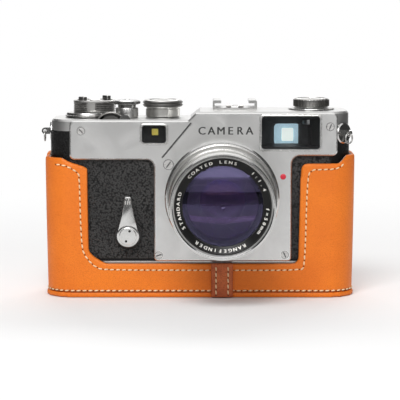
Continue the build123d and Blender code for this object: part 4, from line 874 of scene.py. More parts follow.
NODE_FINISHES: dict[str, Finish] = {
    "body_casting": CASTING_BLACK, "top_cover": SATIN_CHROME, "front_plate": PLATE_CHROME_EDGE_LIT,
    "front_plate_screws": SCREW_METAL, "grip_covering_left": COVERING,
    "grip_covering_right": COVERING, "viewfinder_window": CLEAR_GLASS,
    "rangefinder_window": CLEAR_GLASS, "viewfinder_lens": CLEAR_GLASS,
    "rangefinder_prism": CLEAR_GLASS, "eyepiece_ring": BLACK_ENAMEL, "eyepiece_lens": CLEAR_GLASS,
    "accessory_shoe": SATIN_CHROME, "shoe_spring": STEEL, "light_box": FLAT_BLACK,
    "film_gate": STEEL, "shutter_curtain": CURTAIN, "shutter_drum_left": BRASS,
    "shutter_drum_right": BRASS, "take_up_spool": BLACK_PLASTIC, "sprocket": ALUMINIUM,
    "back_cover": SATIN_CHROME, "back_covering": COVERING, "pressure_plate": BLACK_ENAMEL,
    "lock_key_left": POLISHED_CHROME, "lock_key_right": POLISHED_CHROME, "tripod_bush": STEEL,
    "advance_lever": POLISHED_CHROME, "frame_counter_drum": KNURLED_CHROME,
    "release_collar": SATIN_CHROME, "release_button": POLISHED_CHROME, "speed_dial": KNURLED_CHROME,
    "rewind_sleeve": SATIN_CHROME, "rewind_shaft": STEEL, "rewind_knob": KNURLED_CHROME,
    "focusing_wheel": DARK_STEEL, "idler_gear_lower": BRASS, "idler_gear_upper": BRASS,
    "mount_gear": BRASS, "lens_mount_ring": POLISHED_CHROME, "cam_ring": BRASS,
    "lens_barrel": SATIN_CHROME, "distance_ring": KNURLED_CHROME, "aperture_ring": KNURLED_CHROME,
    "filter_rim": POLISHED_CHROME, "name_ring": NAME_RING_BLACK, "front_element": FRONT_GLASS,
    "rear_elements": COATED_GLASS, "iris_blades": BLACK_ENAMEL, "self_timer_escutcheon": BLACK_ENAMEL,
    "self_timer_lever": POLISHED_CHROME, "infinity_lock": POLISHED_CHROME,
    "strap_lugs": POLISHED_CHROME, "strap_ring_left": STEEL, "strap_ring_right": STEEL,
    "case_shell": CASE_LEATHER, "case_sole": CASE_LEATHER, "case_filler": SUEDE,
    "case_strap": STRAP_LEATHER, "case_screw": BRASS,
}


def dress_nodes(nodes: dict[str, bpy.types.Object]) -> None:
    """Gives every node of the frame its finish."""
    for name, obj in nodes.items():
        obj.data.materials.clear()
        obj.data.materials.append(NODE_FINISHES[name].material())


# ------------------------------------------------------------------ top controls
MOUNT_RING_PROUD = 3.0


def centre_of(node: str) -> Vector:
    """Middle of a node's box at rest."""
    low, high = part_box(node)
    return (low + high) / 2


def plate_face() -> float:
    """How far forward the front plate's face lies, in millimetres."""
    return -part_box("lens_mount_ring")[0].y / MM - MOUNT_RING_PROUD


@dataclass
class TopControls:
    """Dials, lever and buttons on the top cover. Sizes in millimetres."""

    dial_segments: int = 120
    dial_numbers: tuple[str, ...] = ("B", "1", "2", "4", "8", "15", "30", "60", "125", "250", "500", "1000")
    counter_numbers: tuple[str, ...] = ("0", "5", "10", "15", "20", "25", "30", "35")

    def build(self) -> None:
        """Makes every control."""
        self.speed_dial()
        self.frame_counter()
        self.advance_lever()
        self.release()
        self.rewind()
        self.wheel()
        self.shoe_spring()

    def top_of(self, node: str) -> tuple[float, float, float]:
        """Centre x and y of a node in metres, and its top in millimetres."""
        low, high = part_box(node)
        return (low.x + high.x) / 2, (low.y + high.y) / 2, high.z / MM

    def speed_dial(self) -> None:
        """Shutter speed dial: narrow skirt, flared knurled head and engraved speeds."""
        x, y, top = self.top_of("speed_dial")
        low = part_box("speed_dial")[0].z / MM
        stations: list[Station] = [(0, low), (2.0, low), (2.0, top - 7.8), (7.7, top - 7.8), (7.9, top - 7.6),
                                   (7.9, top - 4.3), (7.5, top - 4.0), (7.5, top - 3.6), (8.7, top - 3.3)]
        stations += band(8.8, top - 3.1, top - 0.6, 2)
        stations += [(8.55, top - 0.25), (8.1, top), (6.6, top), (6.5, top - 0.15), (2.3, top - 0.15),
                     (2.0, top - 0.45), (0, top - 0.45)]
        obj = turned(stations, self.dial_segments)
        pyramids(obj, top - 3.12, top - 0.58, 0.5)
        shade_band(obj, top - 3.12, top - 0.58)
        smooth(obj, 20)
        self.put(obj, x, y, "speed_dial_head", "speed_dial", (KNURLED_CHROME, MILLED_STEEL_SHADED), "knurled_chrome",
                 ("speed_dial",))
        count = len(self.dial_numbers)
        text = ring_text(self.dial_numbers, 1.5, lambda i: Matrix.Rotation(-math.tau * i / count, 4, "Z")
                         @ Matrix.Translation((0, 5.6 * MM, top * MM)))
        text.data.transform(Matrix.Translation((0, 0, -0.13 * MM)))
        self.put(text, x, y, "speed_dial_numbers", "speed_dial", INK_BLACK, "black_enamel")

    def frame_counter(self) -> None:
        """Frame counter: knurled in four parts, two finger tabs and a numbered face."""
        x, y, _ = self.top_of("advance_lever")
        low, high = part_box("frame_counter_drum")
        bottom, lid = low.z / MM, high.z / MM - 1.8
        stations: list[Station] = [(3.05, bottom), (9.6, bottom), (9.8, bottom + 0.2), (9.8, bottom + 0.7)]
        stations += band(9.45, bottom + 0.8, lid - 1.1, 4)
        stations += [(9.8, lid - 1.0), (9.8, lid - 0.3), (9.5, lid), (8.4, lid), (8.3, lid - 0.35),
                     (2.4, lid - 0.35), (2.1, lid), (0, lid + 0.15)]
        stations = [(0, lid - 2.0), (3.05, lid - 2.0)] + stations
        segments = 168
        obj = turned(stations, segments)

        def milled(angle: float) -> bool:
            """Four milled parts with plain gaps between them."""
            return (angle + 20) % 90 > 24

        pyramids(obj, bottom + 0.82, lid - 1.12, 0.35, milled)
        shade_band(obj, bottom + 0.82, lid - 1.12, milled)
        smooth(obj, 20)
        self.put(obj, x, y, "counter_drum", "frame_counter", (KNURLED_CHROME, MILLED_STEEL_SHADED), "knurled_chrome",
                 ("frame_counter_drum",))
        tabs = []
        for side in (45, 225):
            tab = block((-1.2 * MM, -1.8 * MM, 0), (1.2 * MM, 1.8 * MM, 2.0 * MM))
            bevelled(tab, 0.4, 3)
            tab.data.transform(Matrix.Rotation(math.radians(side), 4, "Z")
                               @ Matrix.Translation((7.4 * MM, 0, (lid - 0.25) * MM)))
            tabs.append(tab)
        tab = join(tabs)
        smooth(tab)
        self.put(tab, x, y, "counter_tabs", "frame_counter", TAB_STEEL, "chrome_polished")
        count = len(self.counter_numbers)
        text = ring_text(self.counter_numbers, 1.3,
                         lambda i: Matrix.Rotation(-math.tau * (i + 0.3) / count, 4, "Z")
                         @ Matrix.Translation((0, 5.2 * MM, (lid - 0.33) * MM)))
        self.put(text, x, y, "counter_numbers", "frame_counter", INK_BLACK, "black_enamel")

    def advance_lever(self) -> None:
        """Winding lever: stepped disc, shaft and a curved arm with a thumb pad."""
        x, y, _ = self.top_of("frame_counter_drum")
        low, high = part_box("advance_lever")
        foot, post = low.z / MM, high.z / MM
        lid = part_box("frame_counter_drum")[0].z / MM
        level, top = lid - 2.2, lid - 0.2
        disc = turned([(0, foot), (2.5, foot), (2.5, level), (9.9, level), (10.4, level + 0.35),
                       (10.4, level + 0.9), (9.9, level + 1.1), (9.9, level + 1.5), (9.6, top), (3.0, top),
                       (3.0, post), (0, post)], 128)
        outline = []
        reach = 22.0
        for step in range(13):
            along = 7.0 + (reach - 9.5) * step / 12
            outline.append((along, 4.4 - 1.9 * math.sin(math.pi * step / 16) + 0.0006 * along ** 2))
        for step in range(1, 8):
            angle = math.radians(80 - 22.5 * step)
            outline.append((reach - 2.6 + 2.6 * math.cos(angle), 0.8 + 2.5 * math.sin(angle)))
        for step in range(13):
            along = reach - 2.5 - (reach - 9.5) * step / 12
            outline.append((along, -1.7 - 0.5 * math.sin(math.pi * step / 12)))
        arm = plate(list(reversed(outline)), 1.35)
        bevelled(arm, 0.3, 3)
        arm.data.transform(Matrix.Rotation(math.radians(40), 4, "Z")
                           @ Matrix.Translation((0, 0, (level + 0.1) * MM)))
        obj = join([disc, arm])
        smooth(obj)
        self.put(obj, x, y, "winding_lever", "advance_lever", LEVER_CHROME, "chrome_polished",
                 ("advance_lever",))

    def release(self) -> None:
        """Shutter release: dished, threaded button with a milled collar below."""
        x, y, top = self.top_of("release_button")
        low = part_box("release_button")[0].z / MM
        obj = turned([(0, low), (1.5, low), (1.5, top - 5.2), (4.15, top - 5.2), (4.15, top - 2.15),
                      (5.8, top - 2.1), (6.05, top - 1.85), (6.05, top - 0.75), (5.85, top - 0.45),
                      (5.2, top - 0.25), (4.4, top - 0.1), (3.0, top), (1.5, top - 0.05), (1.35, top - 0.3),
                      (1.2, top - 0.3), (1.2, top - 1.4), (0, top - 1.4)], 96)
        ribs(obj, top - 1.87, top - 0.72, 0.1, 96)
        smooth(obj, 30)
        self.put(obj, x, y, "release_head", "release_button", POLISHED_CHROME, "chrome_polished",
                 ("release_button",))
        low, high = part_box("release_collar")
        bottom, rim = low.z / MM, high.z / MM
        ring = turned([(1.55, bottom), (4.9, bottom), (5.1, bottom + 0.2), (5.1, rim - 0.3), (4.9, rim),
                       (4.35, rim), (4.3, rim - 0.1), (4.3, bottom + 0.7), (1.55, bottom + 0.7)], 96, True)
        ribs(ring, bottom + 0.25, rim - 0.35, 0.08, 96)
        smooth(ring, 30)
        self.put(ring, x, y, "release_guard", "release_collar", SATIN_CHROME, "chrome_satin",
                 ("release_collar",))

    def rewind(self) -> None:
        """Rewind knob with coarse milling, a plate that turns with it and a direction arrow."""
        x, y, top = self.top_of("rewind_knob")
        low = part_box("rewind_knob")[0].z / MM
        stations: list[Station] = [(2.0, low + 1.9), (2.0, low), (7.6, low), (7.9, low + 0.25)]
        stations += [(7.95, low + 0.35), (7.95, top - 0.55), (7.8, top - 0.3), (7.3, top), (6.7, top),
                     (6.6, top - 0.2), (1.7, top - 0.2), (1.5, top), (0, top)]
        stations = [(0, low + 1.9)] + stations
        obj = turned(stations, 144)
        ribs(obj, low + 0.3, top - 0.5, 0.4, 144, every=4)
        shade_band(obj, low + 0.3, top - 0.5)
        smooth(obj, 30)
        self.put(obj, x, y, "rewind_head", "rewind_knob", (KNURLED_CHROME, MILLED_STEEL_SHADED), "knurled_chrome",
                 ("rewind_knob",))
        low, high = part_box("rewind_sleeve")
        foot, deck = low.z / MM, high.z / MM
        sleeve = turned([(2.05, foot), (4.0, foot), (4.0, deck - 0.6), (10.4, deck - 0.6),
                         (10.6, deck - 0.45), (10.5, deck - 0.15), (10.0, deck), (9.0, deck),
                         (8.9, deck - 0.1), (2.05, deck - 0.1)], 128, True)
        ribs(sleeve, deck - 0.5, deck - 0.1, 0.1, 128)
        smooth(sleeve, 30)
        self.put(sleeve, x, y, "rewind_plate", "rewind_sleeve", SATIN_CHROME, "chrome_satin",
                 ("rewind_sleeve",))
        arrow = plate([(-1.2, 3.6), (-1.2, 4.3), (-2.6, 4.3), (-0.2, 6.0), (-0.2, 5.1), (2.2, 5.1),
                       (2.2, 3.6)], 0.04)
        arrow.data.transform(Matrix.Translation((0, 0, (top - 0.2) * MM)))
        self.put(arrow, x, y, "rewind_arrow", "rewind_knob", INK_BLACK, "black_enamel")

    def wheel(self) -> None:
        """Milled rim of the focusing wheel."""
        low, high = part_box("focusing_wheel")
        radius = (high.x - low.x) / 2 / MM
        cover_y = -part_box("body_casting")[0].y / MM
        back = cover_y - 6.4
        centre = Vector(((low.x + high.x) / 2, 0, (low.z + high.z) / 2))
        obj = turned([(radius - 1.4, back), (radius - 0.05, back), (radius + 0.02, back + 0.2),
                      (radius + 0.02, back + 2.8), (radius - 0.05, back + 3.0), (radius - 1.4, back + 3.0)],
                     112, True)
        ribs(obj, back + 0.1, back + 2.9, 0.3, 112)
        smooth(obj, 25)
        place(obj, frame_matrix(centre, Facing.FORWARD))
        finish_piece(obj, "wheel_milling", "focusing_wheel", DARK_STEEL)

    def shoe_spring(self) -> None:
        """Leaf spring of the accessory shoe with two curled fingers."""
        low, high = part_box("shoe_spring")
        fingers = []
        for side in (-1, 1):
            deselect()
            bpy.ops.mesh.primitive_plane_add(size=1)
            leaf = bpy.context.active_object
            leaf.scale = (2.4 * MM, (high.y - low.y) * 0.86, 1)
            bpy.ops.object.transform_apply(scale=True)
            edit(leaf, "EDGE")
            bpy.ops.object.mode_set(mode="OBJECT")
            for edge in leaf.data.edges:
                edge.select = all(leaf.data.vertices[v].co.y < 0 for v in edge.vertices)
            bpy.ops.object.mode_set(mode="EDIT")
            for step in range(7):
                angle = math.radians(-14 + 34 * step)
                bpy.ops.mesh.extrude_region_move(TRANSFORM_OT_translate={
                    "value": (0, -0.42 * MM * math.cos(angle), 0.42 * MM * math.sin(angle))})
            bpy.ops.object.mode_set(mode="OBJECT")
            apply_modifier(leaf, "SOLIDIFY", thickness=0.22 * MM, offset=0)
            leaf.data.transform(Matrix.Translation((
                (low.x + high.x) / 2 + side * 2.8 * MM, (low.y + high.y) / 2 + 0.6 * MM, low.z + 0.2 * MM)))
            fingers.append(leaf)
        web = block((low.x + 0.3 * MM, 0, low.z + 0.02 * MM), (high.x - 0.3 * MM, high.y, low.z + 0.3 * MM))
        bevelled(web, 0.1)
        obj = join(fingers + [web])
        bpy.ops.object.mode_set(mode="EDIT")
        bpy.ops.mesh.select_all(action="SELECT")
        bpy.ops.mesh.normals_make_consistent(inside=False)
        bpy.ops.object.mode_set(mode="OBJECT")
        smooth(obj)
        finish_piece(obj, "shoe_leaf_spring", "camera", STEEL, ("shoe_spring",))

    def put(self, obj: bpy.types.Object, x: float, y: float, name: str, body: str,
            finish: Finish | Sequence[Finish], slot: str, replaced: Iterable[str] = ()) -> None:
        """Stands a piece made about +Z on its axis and finishes it."""
        place(obj, Matrix.Translation((x, y, 0)))
        finish_piece(obj, name, body, finish, replaced)


# ------------------------------------------------------------------ lens
@dataclass
class Lens:
    """Barrel, rings, glass and engravings of the lens. Sizes in millimetres."""

    segments: int = 180
    name_text: str = "COATED LENS   1:1.4   f=50mm   RANGEFINDER   STANDARD   "
    distances: tuple[str, ...] = ("1", "1.2", "1.5", "2", "2.5", "3", "5", "10", "20")
    apertures: tuple[str, ...] = ("1.4", "2", "2.8", "4", "5.6", "8", "11", "16", "22")

    def build(self) -> None:
        """Makes every piece of the lens."""
        low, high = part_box("lens_barrel")
        self.centre = Vector(((low.x + high.x) / 2, 0, (low.z + high.z) / 2))
        self.front = -low.y / MM
        self.plate = plate_face()
        self.barrel()
        self.rings()
        self.name_ring()
        self.coatings()
        self.mount()

    def put(self, obj: bpy.types.Object, name: str, body: str, finish: Finish | Sequence[Finish],
            slot: str, replaced: Iterable[str] = ()) -> bpy.types.Object:
        """Turns a piece made about +Z to face forward on the lens axis and finishes it."""
        place(obj, frame_matrix(self.centre, Facing.FORWARD))
        return finish_piece(obj, name, body, finish, replaced)

    def barrel(self) -> None:
        """The barrel outside, with grooves, and its black ribbed bore."""
        start = self.plate
        back = -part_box("lens_barrel")[1].y / MM
        front = self.front
        outside: list[Station] = [
            (15.4, back), (16.8, back), (16.8, start - 3.6), (18.2, start - 3.4), (18.2, start + 3.25),
            (21.9, start + 3.25), (21.9, start + 9.0), (23.0, start + 9.02), (23.2, start + 9.2),
            (23.2, start + 12.2), (23.0, start + 12.4), (23.0, start + 12.7), (23.2, start + 12.9),
            (23.2, start + 15.7), (23.0, start + 15.88), (20.55, start + 15.9), (20.55, start + 23.1),
            (22.6, start + 23.12), (22.9, start + 23.4), (22.9, start + 27.0), (22.7, start + 27.2),
            (22.7, start + 27.6), (22.9, start + 27.8), (22.9, front - 0.15), (22.7, front), (21.4, front)]
        obj = turned(outside, self.segments)
        smooth(obj, 28)
        self.put(obj, "barrel_tube", "lens", SATIN_CHROME, "chrome_satin", ("lens_barrel",))
        inside: list[Station] = [(21.4, front - 0.02), (21.4, front - 3.4), (17.9, front - 3.4),
                                 (17.9, front - 9.0), (15.4, front - 9.0)]
        count = 12
        for step in range(count):
            level = front - 9.0 - (front - 9.0 - back) * step / count
            pitch = (front - 9.0 - back) / count
            inside += [(15.35, level - pitch * 0.4), (15.1, level - pitch * 0.5), (15.1, level - pitch * 0.9),
                       (15.35, level - pitch)]
        inside.append((15.4, back + 0.02))
        bore = turned(inside, 96)
        edit(bore)
        bpy.ops.mesh.select_all(action="SELECT")
        bpy.ops.mesh.flip_normals()
        bpy.ops.object.mode_set(mode="OBJECT")
        smooth(bore, 28)
        self.put(bore, "barrel_bore", "lens", FLAT_BLACK, "black_enamel")

    def rings(self) -> None:
        """Distance, aperture and front rings with their milling and numbers."""
        start = self.plate
        ring = turned([(22.0, start + 3.25), (24.6, start + 3.25), (24.9, start + 3.45), (24.9, start + 4.1),
                       (24.5, start + 4.2), (24.5, start + 8.0), (24.9, start + 8.1), (24.9, start + 8.8),
                       (24.6, start + 9.0), (22.0, start + 9.0)], self.segments, True)
        ribs(ring, start + 4.15, start + 8.05, 0.42, self.segments,
             lambda angle: angle % 60 < 42, every=3)
        shade_band(ring, start + 4.15, start + 8.05)
        smooth(ring, 25)
        self.put(ring, "distance_grip", "lens", (KNURLED_CHROME, MILLED_CHROME_SHADED), "knurled_chrome",
                 ("distance_ring",))
        stations: list[Station] = [(20.65, start + 16.0), (23.7, start + 16.0), (24.0, start + 16.25)]
        stations += band(24.0, start + 16.4, start + 19.4, 4)
        stations += [(23.7, start + 19.6), (23.7, start + 22.7), (23.5, start + 23.0), (20.65, start + 23.0)]
        ring = turned(stations, self.segments, True)
        pyramids(ring, start + 16.42, start + 19.38, 0.36)
        shade_band(ring, start + 16.42, start + 19.38)
        smooth(ring, 20)
        self.put(ring, "aperture_grip", "aperture_ring", (KNURLED_CHROME, MILLED_CHROME_SHADED), "knurled_chrome",
                 ("aperture_ring",))
        rim_front = -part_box("filter_rim")[0].y / MM
        rim: list[Station] = [(22.3, self.front), (23.1, self.front), (23.3, self.front + 0.2),
                              (23.3, rim_front - 0.3), (23.0, rim_front), (22.3, rim_front)]
        turns = 5
        for step in range(turns):
            level = rim_front - 0.3 - 2.4 * step / turns
            rim += [(22.25, level), (22.0, level - 0.24)]
        piece = turned(rim, self.segments, True)
        smooth(piece, 28)
        self.put(piece, "front_rim", "lens", POLISHED_CHROME, "chrome_polished", ("filter_rim",))
        self.cylinder_text("distance_numbers", "lens", self.distances, 23.22, start + 14.3, 1.9, 17.0,
                           INK_BLACK)
        self.cylinder_text("aperture_numbers", "aperture_ring", self.apertures, 23.72, start + 21.1,
                           1.9, 13.0, INK_BLACK)

    def cylinder_text(self, name: str, body: str, words: Sequence[str], radius: float, forward: float,
                      size: float, pitch: float, finish: Finish) -> None:
        """Numbers around a ring, read from above with the lens pointing away."""
        middle = (len(words) - 1) / 2

        def spot(index: int) -> Matrix:
            """Place of one number around the ring."""
            angle = math.radians((index - middle) * pitch)
            return (Matrix.Rotation(angle, 4, "Z") @ Matrix.Translation((0, radius * MM, forward * MM))
                    @ Matrix.Rotation(math.radians(-90), 4, "X") @ Matrix.Rotation(math.pi, 4, "Z"))

        self.put(ring_text(words, size, spot), name, body, finish, "black_enamel")

    def name_ring(self) -> None:
        """White lettering on the black cone behind the front rim."""
        middle_radius = 19.5
        forward = self.front - 1.4 + 0.1
        lean = math.atan2(2.0, 3.0)
        count = len(self.name_text)

        def spot(index: int) -> Matrix:
            """Place of one letter on the cone."""
            angle = -math.tau * index / count + math.radians(48)
            return (Matrix.Rotation(angle, 4, "Z") @ Matrix.Translation((0, middle_radius * MM, forward * MM))
                    @ Matrix.Rotation(lean, 4, "X"))

        text = ring_text(self.name_text, 2.3, spot, 0.07)
        self.put(text, "name_ring_lettering", "lens", INK_WHITE, "black_enamel")

    def coatings(self) -> None:
        """Coated inner faces: shallow domes that mirror the lights in colour."""
        faces = (
            ("coating_violet", 15.6, -4.6, 3.2, Coating("coating_violet", (0.34, 0.14, 0.80), weight=0.007)),
            ("coating_rose", 9.4, -8.5, 1.2, Coating("coating_rose", (0.95, 0.52, 0.66), weight=0.036)),
            ("coating_blue", 13.2, -12.0, 2.6, Coating("coating_blue", (0.14, 0.12, 0.90), weight=0.014)),
            ("coating_plum", 6.6, -16.0, -1.0, Coating("coating_plum", (0.60, 0.30, 0.72), weight=0.036)),
            ("coating_green", 11.0, -20.0, -3.0, Coating("coating_green", (0.35, 0.75, 0.5), weight=0.005)),
        )
        for name, radius, level, bulge, finish in faces:
            rows = 14
            stations = []
            for step in range(rows + 1):
                share = step / rows
                stations.append((radius * (1 - share), self.front + level + bulge * (1 - (1 - share) ** 2)))
            dome = turned(stations, 96)
            smooth(dome, 60)
            self.put(dome, name, "lens", finish, "glass_coated")

    def mount(self) -> None:
        """Fixed mount ring with a chamfered front edge."""
        start = self.plate
        ring = turned([(20.4, start - 3.8), (22.5, start - 3.8), (22.5, start + 0.01), (25.7, start + 0.01),
                       (26.0, start + 0.3), (26.0, start + 2.4), (25.5, start + 2.9), (24.6, start + 3.0),
                       (20.4, start + 3.0)], self.segments, True)
        smooth(ring, 28)
        self.put(ring, "mount_flange", "camera", POLISHED_CHROME, "chrome_polished", ("lens_mount_ring",))


# ------------------------------------------------------------------ front details
@dataclass
class FrontDetails:
    """Self-timer lever, red index, finder tunnel and engraving on the front. Sizes in millimetres."""

    word: str = "CAMERA"

    def build(self) -> None:
        """Makes every detail of the front."""
        self.self_timer()
        self.red_index()
        self.finder()
        self.groove_shadow()
        self.screw_shadows()
        self.engraving()

    def self_timer(self) -> None:
        """Self-timer lever: stepped hub, capped screw and a tapered, fluted arm."""
        low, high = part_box("self_timer_lever")
        x = (low.x + high.x) / 2
        z = low.z + (high.x - low.x) / 2
        centre = Vector((x, 0, z))
        back, front = -high.y / MM, -low.y / MM - 0.5
        hub = turned([(0, back), (1.5, back), (1.5, front - 4.3), (4.1, front - 4.3), (4.1, front - 2.0),
                      (5.0, front - 1.9), (5.15, front - 1.6), (5.15, front - 0.4), (4.95, front - 0.1),
                      (4.3, front), (4.1, front), (4.05, front - 0.12), (3.9, front - 0.12),
                      (3.85, front + 0.35), (3.6, front + 0.5), (0, front + 0.55)], 96)
        smooth(hub, 25)
        length = (high.z - z) / MM
        sides = [(4.55, 2.4), (3.6, 6.4), (2.75, 9.6), (2.4, 12.4), (2.05, 13.2), (1.8, length - 1.2),
                 (1.5, length - 0.4), (0.9, length)]
        outline = sides + [(-px, py) for px, py in reversed(sides)]
        arm = plate(outline, 1.7)
        bevelled(arm, 0.32, 3)
        arm.data.transform(Matrix.Translation((0, 0, (front - 1.85) * MM)))
        flutes = []
        for offset in (-1.05, 0.0, 1.05):
            deselect()
            bpy.ops.mesh.primitive_cylinder_add(vertices=16, radius=0.36 * MM, depth=(length - 14.6) * MM)
            rod = bpy.context.active_object
            bevelled(rod, 0.3, 3, 60)
            rod.data.transform(Matrix.Translation((offset * MM, (14.1 + length) / 2 * MM,
                                                   (front - 0.12) * MM))
                               @ Matrix.Rotation(math.radians(90), 4, "X"))
            flutes.append(rod)
        obj = join([hub, arm] + flutes)
        smooth(obj, 28)
        place(obj, frame_matrix(centre, Facing.FORWARD))
        finish_piece(obj, "timer_lever", "self_timer", POLISHED_CHROME,
                     ("self_timer_lever",))
        # Painted shade: two black discs stand for the spanner holes of the screw cap.
        hole_shadows = []
        for hole_x, hole_z in ((0.8, 2.3), (-0.8, -2.3)):
            disc = turned([(0, front + 0.5), (0.5, front + 0.5), (0.55, front + 0.57),
                           (0, front + 0.575)], 24)
            disc.data.transform(Matrix.Translation((hole_x * MM, hole_z * MM, 0)))
            hole_shadows.append(disc)
        dots = join(hole_shadows)
        place(dots, frame_matrix(centre, Facing.FORWARD))
        finish_piece(dots, "timer_spanner_hole_shadows", "self_timer", FLAT_BLACK)

    def red_index(self) -> None:
        """Red index dot beside the lens mount."""
        lens = centre_of("lens_mount_ring")
        face = plate_face()
        dot = turned([(0, face), (1.3, face), (1.3, face + 0.12), (0.95, face + 0.3), (0, face + 0.38)], 40)
        smooth(dot, 50)
        place(dot, frame_matrix(Vector((lens.x + 27.7 * MM, 0, lens.z + 9.6 * MM)), Facing.FORWARD))
        finish_piece(dot, "lens_index_dot", "camera", INK_RED)

    def finder(self) -> None:
        """Black tunnel behind the finder window and the amber patch of the rangefinder."""
        low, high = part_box("viewfinder_window")
        eye_low, eye_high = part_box("eyepiece_lens")
        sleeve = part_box("rewind_sleeve")[0]
        deselect()
        bpy.ops.mesh.primitive_cube_add(size=1)
        tunnel = bpy.context.active_object
        front_y, back_y = high.y + 0.6 * MM, eye_low.y - 0.3 * MM
        right_back = min(eye_high.x + 1.0 * MM, sleeve.x + 6.2 * MM)
        left, right = low.x - 0.2 * MM, high.x + 0.2 * MM
        bottom, top = low.z - 0.2 * MM, high.z + 0.1 * MM
        corners = {(-1, -1): (left, bottom), (1, -1): (right, bottom), (-1, 1): (left, top),
                   (1, 1): (right, top)}
        for vertex in tunnel.data.vertices:
            side = (1 if vertex.co.x > 0 else -1, 1 if vertex.co.z > 0 else -1)
            x, z = corners[side]
            if vertex.co.y > 0:
                x = eye_low.x - 1.2 * MM if side[0] < 0 else right_back
                z = eye_low.z - 0.8 * MM if side[1] < 0 else eye_high.z + 0.8 * MM
            vertex.co = (x, back_y if vertex.co.y > 0 else front_y, z)
        pick_faces(tunnel, lambda face: abs(face.normal.y) > 0.9)
        bpy.ops.mesh.delete(type="FACE")
        bpy.ops.object.mode_set(mode="OBJECT")
        apply_modifier(tunnel, "SOLIDIFY", thickness=0.15 * MM, offset=1)
        finish_piece(tunnel, "finder_tunnel", "camera", FLAT_BLACK)
        beam_y = high.y + (back_y - high.y) * 0.72
        wide, tall = (eye_high.x - eye_low.x) / MM + 3.4, (eye_high.z - eye_low.z) / MM + 3.4
        # The beam plate and inner frame glow as painted light.
        beam = plate(rounded_rectangle(wide, tall, 1.8), 0.4)
        place(beam, frame_matrix(Vector(((eye_low.x + eye_high.x) / 2 - 0.4 * MM, beam_y,
                                         (eye_low.z + eye_high.z) / 2)), Facing.FORWARD))
        finish_piece(beam, "finder_beam_plate", "camera", BEAM_PLATE_GLOW)
        inner = plate(rounded_rectangle(5.4, 6.0, 0.6), 0.3)
        place(inner, frame_matrix(Vector(((eye_low.x + eye_high.x) / 2 - 0.2 * MM, beam_y - 0.5 * MM,
                                          (eye_low.z + eye_high.z) / 2)), Facing.FORWARD))
        finish_piece(inner, "finder_inner_frame", "camera", INNER_FRAME_GLOW)
        low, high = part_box("rangefinder_window")
        middle = (low + high) / 2
        patch = block((middle.x - 1.0 * MM, high.y + 0.25 * MM, middle.z - 0.5 * MM),
                      (middle.x + 1.9 * MM, high.y + 0.5 * MM, middle.z + 2.4 * MM))
        bevelled(patch, 0.1)
        finish_piece(patch, "rangefinder_patch", "camera", AMBER)
        backing = block((low.x + 0.2 * MM, high.y + 0.9 * MM, low.z + 0.2 * MM),
                        (high.x - 0.2 * MM, high.y + 1.1 * MM, high.z - 0.2 * MM))
        bevelled(backing, 0.05)
        finish_piece(backing, "rangefinder_mask", "camera", FLAT_BLACK)

    def screw_shadows(self) -> None:
        """Painted shade in the slots of the plate's screws and of the cap beside the lens, and painted shadow
        rings round their seats.
        """
        lens = centre_of("lens_mount_ring")
        face = plate_face()
        marks = []
        for across, up, radius, turn, proud in (
                (-28.8, -26.4, 1.7, 20, 0.0), (28.6, -26.2, 1.7, 115, 0.0), (49.0, 32.3, 1.7, 70, 0.0),
                (-63.9, 30.3, 1.7, 130, 0.0), (-24.3, 15.1, 2.2, 55, 0.3)):
            level = face + proud
            # Painted shadow: a thin dark ring round the screw's seat.
            seat_shadow = turned([(radius - 0.08, level), (radius + 0.1, level), (radius + 0.1, level + 0.02),
                           (radius - 0.08, level + 0.02)], 48, True)
            # Painted shade in the screw's slot.
            slot = plate(rounded_rectangle(radius * 1.6, 0.5, 0.2, 3), 0.03)
            slot.data.transform(Matrix.Translation((0, 0, level * MM))
                                @ Matrix.Rotation(math.radians(turn), 4, "Z"))
            for part in (seat_shadow, slot):
                part.data.transform(Matrix.Translation((across * MM, up * MM, 0)))
                marks.append(part)
        piece = join(marks)
        place(piece, frame_matrix(Vector((lens.x, 0, lens.z)), Facing.FORWARD))
        finish_piece(piece, "plate_screw_shadows", "camera", SLOT_SHADE)

    def groove_shadow(self) -> None:
        """Painted shadow: a dark strip in the slanted groove left of the engraving."""
        lens = centre_of("lens_mount_ring")
        face = plate_face()
        foot = Vector((lens.x - 27.2 * MM, 0, lens.z + 18.2 * MM))
        head = Vector((lens.x - 14.0 * MM, 0, lens.z + 34.1 * MM))
        run = head - foot
        # Painted shadow along the groove.
        strip = plate(rounded_rectangle(run.length / MM, 0.62, 0.28, 3), 0.03)
        slope = math.atan2(run.z, run.x)
        strip.data.transform(Matrix.Rotation(slope, 4, "Z"))
        place(strip, frame_matrix((foot + head) / 2 - Vector((0, face * MM, 0)), Facing.FORWARD))
        finish_piece(strip, "plate_groove_shadow", "camera", INK_BLACK)

    def engraving(self) -> None:
        """A generic word on the front plate."""
        face = plate_face()
        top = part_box("front_plate")[1].z
        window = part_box("viewfinder_window")[0]
        pitch = 4.3
        start = window.x / MM - 5.6 - pitch * (len(self.word) - 1)
        text = ring_text(self.word, 5.0, lambda i: Matrix.Translation((
            (start + pitch * i) * MM, top - 8.2 * MM, face * MM)), 0.12)
        place(text, Matrix.Rotation(math.radians(90), 4, "X"))
        finish_piece(text, "front_engraving", "camera", INK_BLACK)


